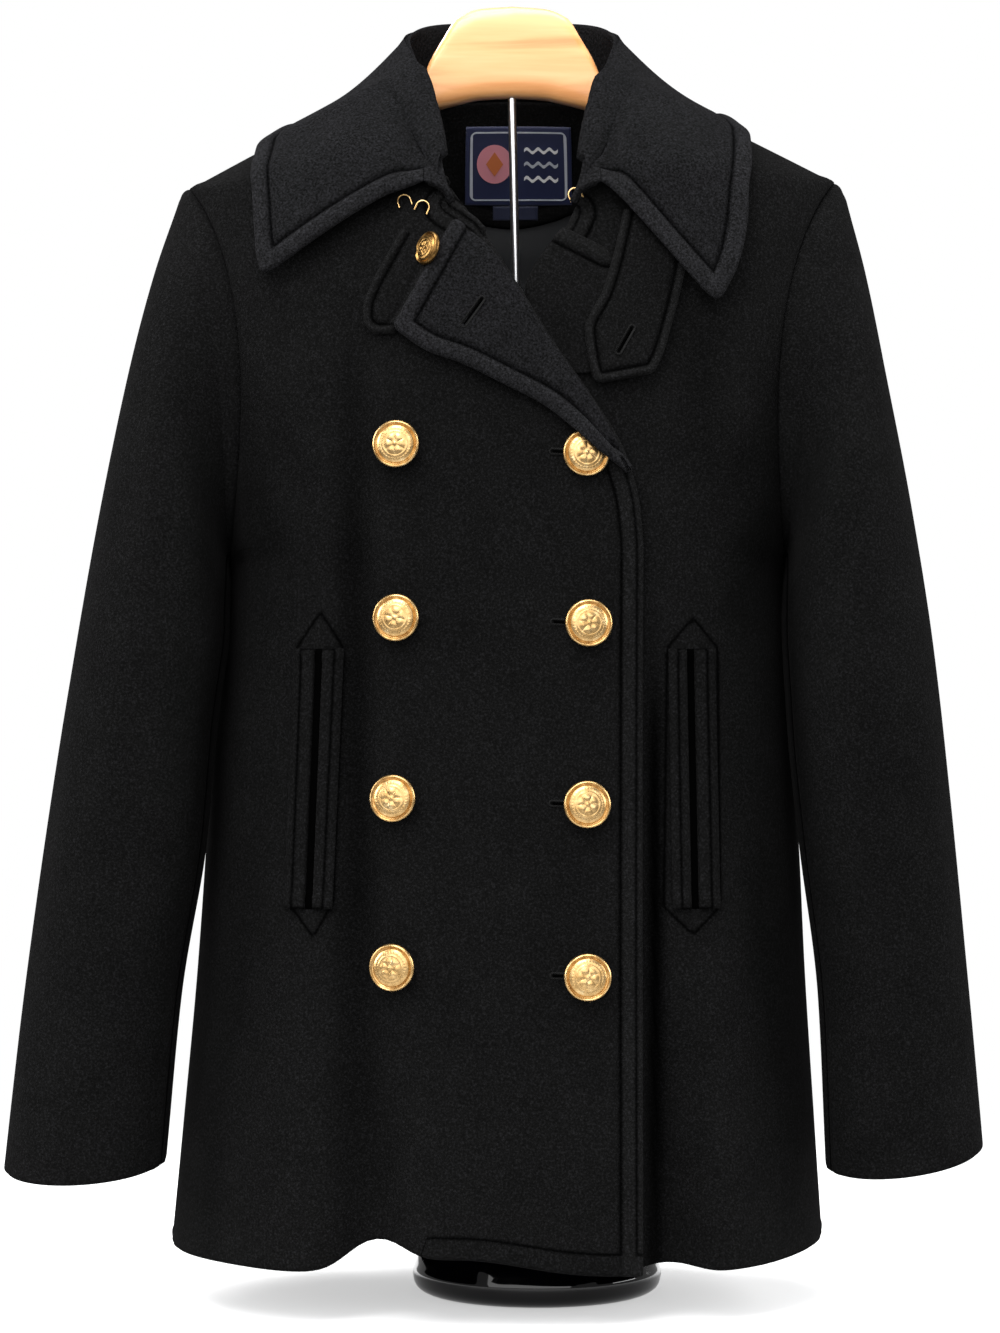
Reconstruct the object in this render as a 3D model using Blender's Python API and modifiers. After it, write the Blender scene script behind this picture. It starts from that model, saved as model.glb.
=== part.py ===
"""A pea coat hanging on a display stand: a wooden shoulder piece on a slim pole and a round base.

Metres, +Z up. The coat faces -Y, its right front laps over its left front, and the origin is the
centre of the base's flat foot. The coat's own centre line stands a little to one side of the foot.
Cloth pieces are worked out from section tables about the coat's centre line, with the distances
in X counted from it, and are walls with a right side and a wrong side.
"""
import math

import bmesh
import bpy
from mathutils import Matrix, Vector

CLOTH = 0.0025                 # the coat's heavy melton, one layer
DOUBLED = 0.0042               # two layers and the seam between them, at collar, lapels and tabs
LINING = 0.0012
FACING = 0.0018
LABEL = 0.0008
LINING_GAP = 0.0016            # between the layers inside the back
SEAM = 0.0003                  # gap left at every seam
LAP_GAP = 0.0030               # between the two fronts, whose facets don't match
COAT_CENTRE_X = -0.0155        # the coat's centre line, from the middle of the foot
UNDERARM_Z = 0.455
TIP_X = 0.200                  # shoulder tips, from the centre line
TIP_Z = {-1: 0.6835, 1: 0.6875}
NECK_X, NECK_Z = 0.085, 0.7455  # where shoulder seam and neckline meet
RIDGE_Y = 0.004                # the shoulder seam and the side seam lie in this plane
FULLNESS = 2.5                 # exponent of the body's rounded sections
ARMHOLE_STEPS = 10             # steps in half an armhole
ARMHOLE_DEPTH = {-1: 0.066, 1: 0.068}   # its reach forwards (-1) and backwards (1)
ARMHOLE_SCOOP = {-1: 0.0225, 1: 0.012}  # how far it is cut in, front and back
UNDERARM_EASE = (0.06, 0.08)   # below and above the underarm, where the cloth beside it rounds off
TIP_EASE = (0.07, 0.05)        # the same below and above the shoulder tip
NEAR_EDGE = 0.72               # share of the width from which a panel turns to its own edge
FRONT_EDGE_X = 0.0775
SIDES = {"left": -1, "right": 1}        # as seen from the front

# The body's sections: heights, sideways swing, half width, reach to the front and to the back.
BODY_COLUMNS = ("z", "centre", "half_width", "front", "back", "roundness")
BODY_ROWS = (
    (0.030, -0.0092, 0.2010, 0.1330, 0.1380, 2.1),
    (0.110, -0.0080, 0.1945, 0.1300, 0.1320, 2.1),
    (0.200, -0.0067, 0.1875, 0.1260, 0.1240, 2.2),
    (0.285, -0.0058, 0.1825, 0.1215, 0.1160, 2.2),
    (0.340, -0.0060, 0.1788, 0.1180, 0.1110, 2.2),
    (0.380, -0.0045, 0.1750, 0.1155, 0.1095, 2.2),
    (0.430, -0.0034, 0.1716, 0.1135, 0.1085, 2.1),
    (0.455, -0.0030, 0.1708, 0.1130, 0.1085, 2.0),
    (0.520, -0.0030, 0.1708, 0.1115, 0.1090, 1.6),
    (0.580, -0.0030, 0.1708, 0.1065, 0.1075, 1.5),
    (0.630, -0.0030, 0.1708, 0.0985, 0.1020, 1.5),
    (0.665, -0.0030, 0.1708, 0.0875, 0.0935, 1.65),
    (0.685, -0.0030, 0.1708, 0.0785, 0.0865, 1.9),
    (0.705, -0.0030, 0.1708, 0.0665, 0.0790, 2.0),
    (0.725, -0.0030, 0.1708, 0.0520, 0.0725, 2.0),
    (0.745, -0.0030, 0.1708, 0.0360, 0.0670, 2.0),
    (0.765, -0.0030, 0.1708, 0.0220, 0.0620, 2.0),
)

# Vertical folds that open towards the hem: x and half width there, depth inwards, the height
# where they fade, and how far they lift the hem.
FOLD_COLUMNS = ("x", "half_width", "depth", "fade_z", "lift")
RIGHT_FRONT_FOLDS = (
    (-0.081, 0.021, 0.022, 0.26, 0.0145),
    (-0.030, 0.050, 0.000, 0.26, 0.0095),
    (-0.140, 0.030, -0.006, 0.30, 0.000),
    (0.010, 0.060, -0.004, 0.25, 0.000),
)
LEFT_FRONT_FOLDS = RIGHT_FRONT_FOLDS + (   # the lapped part follows what lies on it
    (0.092, 0.020, 0.020, 0.30, 0.004),
    (0.138, 0.030, -0.006, 0.30, 0.000),
)
BACK_FOLDS = (
    (-0.105, 0.028, 0.012, 0.34, 0.002),
    (-0.045, 0.032, -0.005, 0.36, 0.000),
    (0.018, 0.030, 0.010, 0.32, 0.002),
    (0.070, 0.030, -0.005, 0.36, 0.000),
    (0.118, 0.026, 0.010, 0.30, 0.002),
)

# The hem's height across the front.
HEM_COLUMNS = ("x", "z")
HEM_ROWS = ((-0.21, 0.031), (-0.10, 0.030), (0.00, 0.030), (0.08, 0.029), (0.15, 0.031), (0.20, 0.036))

# The front's edge up from the hem, the roll of the lapel above it, and the neck end.
EDGE_COLUMNS = ("z", "x")
EDGE_ROWS = (
    (0.029, FRONT_EDGE_X), (0.200, FRONT_EDGE_X), (0.400, 0.0782), (0.4513, 0.0785), (0.4811, 0.0761),
    (0.5120, 0.0672), (0.5453, 0.0470), (0.5798, 0.0232), (0.6131, 0.0024), (0.6466, -0.0210),
    (0.6595, -0.0385),
)
LEFT_EDGE_ROWS = EDGE_ROWS[:8] + ((0.6131, -0.0045), (0.6430, -0.0216), (0.6553, -0.0295), (0.6690, -0.0360))

# The neckline's height, by distance from the centre line.
NECKLINE_COLUMNS = ("x", "z")
FRONT_NECKLINE = ((0.0360, 0.6600), (0.0500, 0.6830), (0.0660, 0.7140), (0.0780, 0.7350), (NECK_X, NECK_Z))
BACK_NECKLINE = ((0.0, 0.7520), (0.045, 0.7515), (0.070, 0.7490), (NECK_X, NECK_Z))

# Sleeves: the ring's outer and inner ends, its half depth and middle in Y, how much it keeps of the
# armhole's scoop, and how much lower its front is than its back.
SLEEVE_COLUMNS = ("along", "outer_x", "outer_z", "inner_x", "inner_z", "half_depth", "y", "scoop", "drop")
SLEEVE_ROWS = {
    "left": (
        (0.00, 0.2067, 0.6750, 0.1755, 0.4530, 0.0675, 0.000, 0.62, 0.000),
        (0.12, 0.2201, 0.6304, 0.1750, 0.4466, 0.0685, -0.013, 0.12, 0.000),
        (0.25, 0.2333, 0.5739, 0.1742, 0.4364, 0.0690, -0.027, 0.00, 0.000),
        (0.40, 0.2507, 0.4867, 0.1745, 0.4077, 0.0670, -0.036, 0.00, 0.000),
        (0.55, 0.2658, 0.3949, 0.1801, 0.3526, 0.0610, -0.048, 0.00, 0.001),
        (0.70, 0.2799, 0.3072, 0.1857, 0.2796, 0.0540, -0.050, 0.00, 0.002),
        (0.85, 0.2952, 0.1975, 0.2004, 0.1906, 0.0470, -0.051, 0.00, 0.004),
        (1.00, 0.3084, 0.0835, 0.2100, 0.0885, 0.0410, -0.052, 0.00, 0.008),
    ),
    "right": (
        (0.00, 0.2075, 0.6760, 0.1700, 0.4530, 0.0675, 0.000, 0.62, 0.000),
        (0.12, 0.2176, 0.6304, 0.1690, 0.4466, 0.0685, -0.013, 0.12, 0.000),
        (0.25, 0.2274, 0.5739, 0.1677, 0.4364, 0.0690, -0.027, 0.00, 0.000),
        (0.40, 0.2433, 0.4867, 0.1665, 0.4077, 0.0670, -0.036, 0.00, 0.000),
        (0.55, 0.2559, 0.3988, 0.1681, 0.3506, 0.0610, -0.048, 0.00, 0.001),
        (0.70, 0.2661, 0.3072, 0.1746, 0.2776, 0.0540, -0.050, 0.00, 0.002),
        (0.85, 0.2764, 0.2004, 0.1857, 0.1876, 0.0470, -0.051, 0.00, 0.004),
        (1.00, 0.2857, 0.0974, 0.1903, 0.0845, 0.0410, -0.052, 0.00, 0.008),
    ),
}
SLEEVE_RINGS = 15
FRONT_SEAM_STEP, BACK_SEAM_STEP = 9, 13   # where the top sleeve meets the under sleeve

# The collar, station by station from the middle of the back to the front end: a point on the
# neck seam, the top of the fold, the leaf's outer edge on each side, and how flat the leaf settles.
COLLAR_COLUMNS = ("seam", "fold", "edge_left", "edge_right", "settle")
COLLAR_ROWS = (
    ((0.000, 0.0645, 0.7520), (0.000, 0.0590, 0.7975), (0.000, 0.0960, 0.7130), (0.000, 0.0960, 0.7130), (1.0,)),
    ((0.045, 0.0553, 0.7515), (0.035, 0.0500, 0.7965), (0.078, 0.0910, 0.7080), (0.078, 0.0910, 0.7080), (0.9,)),
    ((0.070, 0.0346, 0.7490), (0.0555, 0.0320, 0.7910), (0.122, 0.0600, 0.7100), (0.124, 0.0600, 0.7130), (0.6,)),
    ((0.085, 0.0040, 0.7455), (0.0630, 0.0060, 0.7790), (0.142, 0.0080, 0.7230), (0.136, 0.0080, 0.7300), (0.4,)),
    ((0.078, -0.0310, 0.7350), (0.0570, -0.0230, 0.7590), (0.152, -0.0400, 0.7000), (0.143, -0.0440, 0.7020), (0.6,)),
    ((0.066, -0.0560, 0.7140), (0.0500, -0.0470, 0.7340), (0.156, -0.0730, 0.6680), (0.142, -0.0850, 0.6680), (0.9,)),
    ((0.050, -0.0790, 0.6830), (0.0460, -0.0700, 0.7060), (0.155, -0.0850, 0.6390), (0.136, -0.0980, 0.6320), (1.0,)),
    ((0.0385, -0.0880, 0.6640), (0.0540, -0.0920, 0.6790), (0.150, -0.0930, 0.6215), (0.122, -0.1050, 0.6030), (1.0,)),
)
COLLAR_STEPS = 2               # extra stations between rows
STAND_POINTS, LEAF_POINTS = 4, 6
FOLD_ROUND, LEAF_ROUND = 0.020, 0.022   # how far the section runs outwards over the fold
NECK_RISE = 0.0030             # the stand's foot over the neckline at the front, where the cloth slopes
STAND_OFF = (0.0016, 0.0085)   # the leaf's least distance from the body, at the back and at its tips

LAPEL_TOP = (-0.0355, 0.6545)
RIGHT_LAPEL_OUTER = (
    (0.0640, 0.5130), (0.0493, 0.5235), (0.0362, 0.5340), (0.0202, 0.5448), (-0.0036, 0.5550),
    (-0.0297, 0.5665), (-0.0498, 0.5740), (-0.0706, 0.5885),
)
RIGHT_LAPEL_ROLL = (
    (0.0655, 0.5160), (0.0585, 0.5265), (0.0475, 0.5450), (0.0360, 0.5620), (0.0230, 0.5805),
    (0.0020, 0.6138), (-0.0140, 0.6370), LAPEL_TOP,
)
LEFT_LAPEL_INNER = (
    (0.0420, 0.5610), (0.0310, 0.5770), (0.0200, 0.5950), (0.0095, 0.6130), (0.0205, 0.6385), (0.0305, 0.6510),
)
LEFT_LAPEL_OUTER = (
    (0.0640, 0.5640), (0.0670, 0.5760), (0.0690, 0.5950), (0.0670, 0.6110), (0.0620, 0.6260), (0.0570, 0.6375),
)
RIGHT_TAB_INNER = ((0.0660, 0.6600), (0.0615, 0.6400), (0.0534, 0.6120), (0.0425, 0.5880), (0.0440, 0.5720), (0.0480, 0.5545))
RIGHT_TAB_OUTER = ((0.1100, 0.6480), (0.1050, 0.6320), (0.0989, 0.6093), (0.0940, 0.5930), (0.0885, 0.5740), (0.0830, 0.5615))
LEFT_TAB_OUTER = ((-0.0665, 0.6480), (-0.0742, 0.6340), (-0.0831, 0.6168), (-0.0884, 0.6013), (-0.0880, 0.5930), (-0.0819, 0.5850))
LEFT_TAB_INNER = ((-0.0540, 0.6400), (-0.0542, 0.6240), (-0.0617, 0.6090), (-0.0670, 0.5990), (-0.0696, 0.5940), (-0.0730, 0.5850))
LAPEL_LIFT, TAB_THICK = 0.0046, 0.0028

# Pockets: the slit's x at top and bottom, and the welts beside it.
POCKET_COLUMNS = ("top_x", "bottom_x")
POCKETS = {"left": (-0.1150, -0.1207), "right": (0.1060, 0.1085)}
POCKET_TOP_Z, POCKET_BOTTOM_Z = 0.3985, 0.2440
WELT_WIDTH, WELT_THICK, SLIT = 0.0125, 0.0020, 0.0030

# Buttons on the coat's front: x and z of each, by column.
BUTTON_ROWS = {
    "left": ((-0.0680, 0.5195), (-0.0676, 0.4167), (-0.0690, 0.3098), (-0.0688, 0.2108)),
    "right": ((0.0436, 0.5145), (0.0443, 0.4135), (0.0433, 0.3063), (0.0438, 0.2050)),
}
BUTTON_DIAMETER, BUTTON_RISE = 0.0282, 0.0075
TAB_BUTTON_DIAMETER, TAB_BUTTON_RISE = 0.0228, 0.0135   # on a long thread shank
TAB_BUTTON_AT, TAB_BUTTON_TURN = (-0.0490, 0.6440), math.radians(-42)

WIRE = 0.0008                  # radius of the hooks' wire
HOOK_WIDTH, HOOK_DROP = 0.0080, 0.0075
HOOK_COLUMNS = ("name", "panel", "x", "z", "lean", "gap")
HOOK_ROWS = (
    ("hook_1", "right_front", -0.0645, 0.6655, 0.10, 0.0007),
    ("hook_2", "right_front", -0.0520, 0.6605, 0.40, 0.0007),
    ("eye", "left_front", 0.0400, 0.6620, -0.40, 0.0011),
)

# The shoulder piece: half lengths with its top, underside and half depth.
HANGER_COLUMNS = ("x", "top", "underside", "half_depth")
HANGER_ROWS = (
    (0.000, 0.7972, 0.7410, 0.0115), (0.020, 0.7957, 0.7398, 0.0115), (0.034, 0.7902, 0.7368, 0.0118),
    (0.043, 0.7769, 0.7346, 0.0120), (0.050, 0.7650, 0.7326, 0.0124), (0.057, 0.7502, 0.7280, 0.0130),
    (0.070, 0.7415, 0.7180, 0.0140),
)
HANGER_END_X, HANGER_THICK, HANGER_END_DEPTH = 0.1860, 0.0230, 0.0150
HANGER_SIDES, HANGER_BLOCK = 14, 0.9    # facets round a section, and how square it is

FOOT_RADIUS = 0.052
# The turned base, from its top down its outer side: radius and height.
BASE_PROFILE = (
    (0.0, 0.0440), (0.0110, 0.0440), (0.0140, 0.0405), (0.0330, 0.0385), (0.0390, 0.0370),
    (0.0560, 0.0362), (0.0660, 0.0335), (0.0720, 0.0290), (0.0750, 0.0230), (0.0768, 0.0165),
    (0.0765, 0.0105), (0.0725, 0.0045), (0.0650, 0.0010), (FOOT_RADIUS, 0.0), (0.0, 0.0),
)
POLE_RADIUS = 0.0032

MATERIALS = {                  # colour, roughness, metallic
    "melton": ((0.012, 0.012, 0.013), 0.95, 0.0),
    "lining": ((0.020, 0.020, 0.022), 0.60, 0.0),
    "label": ((0.012, 0.020, 0.075), 0.70, 0.0),
    "gilt": ((0.72, 0.45, 0.14), 0.32, 1.0),
    "beech": ((0.86, 0.62, 0.32), 0.45, 0.0),
    "steel": ((0.80, 0.80, 0.80), 0.12, 1.0),
    "black_enamel": ((0.010, 0.010, 0.010), 0.10, 0.0),
}


# Tables

def column(rows, columns, name):
    """One named column of a table, as a list."""
    at = columns.index(name)
    return [row[at] for row in rows]


def smooth(xs, ys):
    """A monotone cubic through the points, held level past its ends."""
    steps = [b - a for a, b in zip(xs, xs[1:])]
    slopes = [(d - c) / h for c, d, h in zip(ys, ys[1:], steps)]
    tangents = [slopes[0]]
    for before, after in zip(slopes, slopes[1:]):
        tangents.append(0.0 if before * after <= 0 else 2 * before * after / (before + after))
    tangents.append(slopes[-1])

    def value(x):
        if x <= xs[0]:
            return ys[0]
        if x >= xs[-1]:
            return ys[-1]
        i = max(k for k in range(len(steps)) if xs[k] <= x)
        h = steps[i]
        t = (x - xs[i]) / h
        rise = ys[i] * (1 + 2 * t) * (1 - t) ** 2 + ys[i + 1] * t * t * (3 - 2 * t)
        return rise + h * (tangents[i] * t * (1 - t) ** 2 - tangents[i + 1] * t * t * (1 - t))

    return value


def table(rows, columns):
    """Each column of a table after the first, as a smooth function of the first."""
    first = column(rows, columns, columns[0])
    return {name: smooth(first, column(rows, columns, name)) for name in columns[1:]}


def ease(t):
    t = min(max(t, 0.0), 1.0)
    return t * t * (3 - 2 * t)


def mix(a, b, t):
    return a + (b - a) * t


def spaced(count):
    return [i / count for i in range(count + 1)]


def along(points, t):
    """The point at t, from 0 to 1, on a smooth line through points spread evenly."""
    stations = list(range(len(points)))
    return tuple(smooth(stations, [p[k] for p in points])(t * stations[-1]) for k in range(len(points[0])))


BODY = table(BODY_ROWS, BODY_COLUMNS)
HEM = table(HEM_ROWS, HEM_COLUMNS)["z"]
FOLDS = {"right_front": RIGHT_FRONT_FOLDS, "left_front": LEFT_FRONT_FOLDS, "back": BACK_FOLDS}


# The body's form

def shoulder_slope(side):
    return (NECK_Z - TIP_Z[side]) / (TIP_X - NECK_X)


def shoulder_z(x):
    """The height of the shoulder seam at a distance from the centre line."""
    side = 1 if x > 0 else -1
    return TIP_Z[side] + (TIP_X - abs(x)) * shoulder_slope(side)


def armhole(angle, side, face):
    """A point of the armhole: angle 0 at the shoulder tip, pi under the arm."""
    top, low = TIP_Z[side], UNDERARM_Z
    height = (top + low) / 2 + (top - low) / 2 * math.cos(angle)
    reach = abs(math.sin(angle))
    under_x = BODY["half_width"](low) + side * BODY["centre"](low)
    line_x = mix(under_x, TIP_X, (height - low) / (top - low))
    scoop = ARMHOLE_SCOOP[face] * reach ** 1.6 * (1 + 0.35 * math.cos(angle))
    return Vector((side * (line_x - scoop), RIDGE_Y + face * ARMHOLE_DEPTH[face] * reach, height))


def body_side(z, side, face):
    """Where a panel's section ends at a height: on the side seam, the armhole or the shoulder."""
    if z <= UNDERARM_Z:
        return BODY["half_width"](z) + side * BODY["centre"](z), RIDGE_Y
    if z < TIP_Z[side]:
        middle = (TIP_Z[side] + UNDERARM_Z) / 2
        angle = math.acos((z - middle) / (TIP_Z[side] - middle))
        point = armhole(angle, side, face)
        return abs(point.x), point.y
    return TIP_X - (z - TIP_Z[side]) / shoulder_slope(side), RIDGE_Y


def body_line(z, side, face):
    """The same line as the cloth away from it follows: rounded off under the arm and at the tip."""
    low, top = UNDERARM_Z, TIP_Z[side]
    share = min(max((2 * z - top - low) / (top - low), -1.0), 1.0)
    reach = math.sqrt(1 - share * share)
    from_below = ease((z - low + UNDERARM_EASE[0]) / sum(UNDERARM_EASE))
    from_above = ease((top + TIP_EASE[1] - z) / sum(TIP_EASE))
    reach = mix(from_below, reach, ease((z - low) / UNDERARM_EASE[1]))
    reach = mix(reach, from_above, ease((z - top) / TIP_EASE[0] + 1))
    if z <= low:
        x = BODY["half_width"](z) + side * BODY["centre"](z)
    elif z < top:
        x = mix(BODY["half_width"](low) + side * BODY["centre"](low), TIP_X, (z - low) / (top - low))
    else:
        x = TIP_X - (z - top) / shoulder_slope(side)
    scoop = ARMHOLE_SCOOP[face] * reach ** 1.6 * (1 + 0.35 * share)
    return x - scoop, RIDGE_Y + face * ARMHOLE_DEPTH[face] * reach


def fold_depth(x, z, folds, close):
    """How far the folds push a point inwards, easing to nothing at the side seam."""
    depth = 0.0
    for fold_x, half_width, deep, fade_z, _ in folds:
        opened = ease((fade_z - z) / (fade_z - BODY_ROWS[0][0])) ** 1.3
        depth += deep * opened * math.exp(-((x - fold_x) / half_width) ** 2)
    return depth * (1 - close ** 8)


def hem_z(x, folds):
    lifts = (lift * math.exp(-((x - fold_x) / half_width) ** 2) for fold_x, half_width, _, _, lift in folds)
    return HEM(x) + sum(lifts)


def body_y(x, z, panel):
    """The right side of the cloth on one panel, at a place seen from the front."""
    face = 1 if panel == "back" else -1
    side = 1 if x > 0 else -1
    edge_x, edge_y = body_side(z, side, face)
    line_x, line_y = body_line(z, side, face)
    across = min(abs(x) / edge_x, 1.0)
    near = ease((across - NEAR_EDGE) / (1 - NEAR_EDGE))
    close = mix(min(abs(x) / line_x, 1.0), across, near)
    deep = BODY["back" if face == 1 else "front"](z)
    swell = (1 - close ** FULLNESS) ** (1 / BODY["roundness"](z))
    y = mix(mix(line_y, edge_y, near), face * deep, swell) - face * fold_depth(x, z, FOLDS[panel], across)
    if panel == "left_front":   # passes under the right front
        y += (CLOTH + LAP_GAP) * ease((0.125 - x) / 0.030) * ease((0.690 - z) / 0.030)
    return y


def on_body(x, z, panel, lift):
    """A point over a panel, and the panel's outward direction there."""
    reach = 0.002
    face = 1 if panel == "back" else -1
    slope_x = (body_y(x + reach, z, panel) - body_y(x - reach, z, panel)) / (2 * reach)
    slope_z = (body_y(x, z + reach, panel) - body_y(x, z - reach, panel)) / (2 * reach)
    normal = Vector((-face * slope_x, face, -face * slope_z)).normalized()
    return Vector((x, body_y(x, z, panel), z)) + normal * lift, normal


# Making meshes

def grid_normals(points, face):
    """Directions square to a grid of points, turned so that on the whole they point to face * Y."""
    rows, columns = len(points), len(points[0])
    normals = []
    for i in range(rows):
        line = []
        for j in range(columns):
            down = points[min(i + 1, rows - 1)][j] - points[max(i - 1, 0)][j]
            over = points[i][min(j + 1, columns - 1)] - points[i][max(j - 1, 0)]
            line.append(over.cross(down).normalized())
        normals.append(line)
    turn = math.copysign(1, face * sum(n.y for line in normals for n in line))
    return [[n * turn for n in line] for line in normals]


def shifted(points, directions, distance):
    return [[p + d * distance for p, d in zip(*pair)] for pair in zip(points, directions)]


def new_object(name, mesh, material):
    piece = bpy.data.objects.new(name, mesh)
    mesh.materials.append(material)
    coat_collection.objects.link(piece)
    return piece


def closed_mesh(name, bm):
    bmesh.ops.recalc_face_normals(bm, faces=bm.faces)
    if bm.calc_volume(signed=True) < 0:
        bmesh.ops.reverse_faces(bm, faces=bm.faces)
    mesh = bpy.data.meshes.new(name)
    bm.to_mesh(mesh)
    bm.free()
    mesh.shade_smooth()
    mesh.set_sharp_from_angle(angle=math.radians(40))
    return mesh


def wall(name, outer, inner, material, parent):
    """A closed wall of cloth between the grid of its right side and the grid of its wrong side."""
    bm = bmesh.new()
    rows, columns = len(outer), len(outer[0])
    right, wrong = ([[bm.verts.new(p) for p in line] for line in grid] for grid in (outer, inner))
    for i in range(rows - 1):
        for j in range(columns - 1):
            for grid in (right, wrong):
                bm.faces.new((grid[i][j], grid[i][j + 1], grid[i + 1][j + 1], grid[i + 1][j]))
    for i in range(rows - 1):
        for j in (0, columns - 1):
            bm.faces.new((right[i][j], right[i + 1][j], wrong[i + 1][j], wrong[i][j]))
    for j in range(columns - 1):
        for i in (0, rows - 1):
            bm.faces.new((right[i][j], right[i][j + 1], wrong[i][j + 1], wrong[i][j]))
    piece = new_object(name, closed_mesh(name, bm), material)
    piece.parent = parent
    return piece


def lofted(name, rings, material, parent):
    """A closed solid through rings of as many points each, with flat ends."""
    bm = bmesh.new()
    made = [[bm.verts.new(p) for p in ring] for ring in rings]
    count = len(rings[0])
    for first, second in zip(made, made[1:]):
        for k in range(count):
            bm.faces.new((first[k], first[(k + 1) % count], second[(k + 1) % count], second[k]))
    bm.faces.new(made[0])
    bm.faces.new(made[-1])
    piece = new_object(name, closed_mesh(name, bm), material)
    piece.parent = parent
    return piece


def turned(name, profile, steps, material):
    """A solid of revolution about Z, from a profile that runs down its outer side."""
    mesh = bpy.data.meshes.new(name)
    edges = [(i, i + 1) for i in range(len(profile) - 1)]
    mesh.from_pydata([(r, 0.0, z) for r, z in profile], edges, [])
    piece = new_object(name, mesh, material)
    screw = piece.modifiers.new("turned", "SCREW")
    screw.steps = screw.render_steps = steps
    screw.use_merge_vertices = True
    screw.merge_threshold = 0.00005
    return piece


# Body panels

def ring_heights(side):
    """The heights where a panel's rows meet its side: up the side seam, then round the armhole."""
    below = [mix(BODY_ROWS[0][0], UNDERARM_Z, t) for t in spaced(10)[:-1]]
    middle, half = (TIP_Z[side] + UNDERARM_Z) / 2, (TIP_Z[side] - UNDERARM_Z) / 2
    around = [middle - half * math.cos(math.pi * t) for t in spaced(ARMHOLE_STEPS)[1:]]
    return below + [UNDERARM_Z] + around


def panel_angle(x, width):
    return math.asin(min(max(x / width, -1.0), 1.0))


def panel_half(panel, side, columns_in, columns_out, edge):
    """A grid from the panel's inner edge out to one side: rows from the hem up."""
    face = 1 if panel == "back" else -1
    heights = ring_heights(side)
    bottom, top = heights[0], heights[-1]
    count = columns_in + columns_out
    neckline = smooth(*zip(*(BACK_NECKLINE if face == 1 else FRONT_NECKLINE)))
    top_start, neck = panel_angle(side * edge(1.0), TIP_X), panel_angle(NECK_X, TIP_X)
    grid = []
    for height in heights:
        rise = (height - bottom) / (top - bottom)
        width, side_y = body_side(height, side, face)
        start = panel_angle(side * edge(rise), width)
        line = []
        for i in range(count + 1):
            if i <= columns_in:
                upper = mix(top_start, neck, i / columns_in)
            else:
                upper = mix(neck, math.pi / 2, (i - columns_in) / columns_out)
            top_x = side * TIP_X * math.sin(upper)
            high = shoulder_z(top_x) if i >= columns_in else neckline(abs(top_x))
            upper_share = (upper - top_start) / (math.pi / 2 - top_start)
            angle = mix(start, math.pi / 2, mix(i / count, upper_share, rise ** 2))
            x = side * width * math.sin(angle)
            if i < count:
                z = mix(hem_z(x, FOLDS[panel]), high, rise)
                line.append(Vector((x, body_y(x, z, panel), z)))
        if height <= UNDERARM_Z:
            z = mix(HEM(side * width), UNDERARM_Z, (height - bottom) / (UNDERARM_Z - bottom))
            width, side_y = body_side(z, side, face)
            height = z
        line.append(Vector((side * width, side_y, height)))
        grid.append(line)
    return grid


def ridge_direction(side):
    slope = shoulder_slope(side)
    return Vector((side * slope, 0.0, 1.0)).normalized()


def panel_wall(name, grid, directions, material):
    inner = shifted(grid, directions, -CLOTH)
    return wall(name, grid, inner, material, coat)


def seam_back(grid, directions, column_index, side, face, neck_index):
    """Opens the side seam, armhole and shoulder seam by half a gap and squares the wall there."""
    for i, height in enumerate(ring_heights(side)):
        if height <= UNDERARM_Z:
            directions[i][column_index] = Vector((side, 0.0, 0.0))
            grid[i][column_index].y += face * SEAM / 2
        else:
            grid[i][column_index].x -= side * SEAM
    last = len(grid) - 1
    step = 1 if neck_index < column_index else -1
    for j in range(neck_index, column_index + step, step):
        directions[last][j] = ridge_direction(side)
        grid[last][j].y += face * SEAM / 2


def edge_line(rows, mirror):
    """The front edge's x by the share of its height."""
    bottom, top = rows[0][0], rows[-1][0]
    return smooth([(z - bottom) / (top - bottom) for z, _ in rows], [mirror * x for _, x in rows])


def build_fronts():
    for panel, side, rows, mirror in (
        ("right_front", -1, EDGE_ROWS, 1), ("left_front", 1, LEFT_EDGE_ROWS, -1),
    ):
        columns_in, columns_out = 12, 5
        grid = panel_half(panel, side, columns_in, columns_out, edge_line(rows, mirror))
        directions = grid_normals(grid, -1)
        seam_back(grid, directions, columns_in + columns_out, side, -1, columns_in)
        panel_wall(panel, grid, directions, cloth)


def build_back():
    columns_in, columns_out = 7, 5
    halves = {side: panel_half("back", side, columns_in, columns_out, lambda rise: 0.0) for side in (-1, 1)}
    grid = [list(reversed(left)) + right[1:] for left, right in zip(halves[-1], halves[1])]
    for line in grid:
        middle = line[columns_in + columns_out]
        middle.x = 0.0
    directions = grid_normals(grid, 1)
    last = len(grid[0]) - 1
    seam_back(grid, directions, 0, -1, 1, columns_out)
    seam_back(grid, directions, last, 1, 1, last - columns_out)
    panel_wall("back", grid, directions, cloth)


# Sleeves

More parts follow.
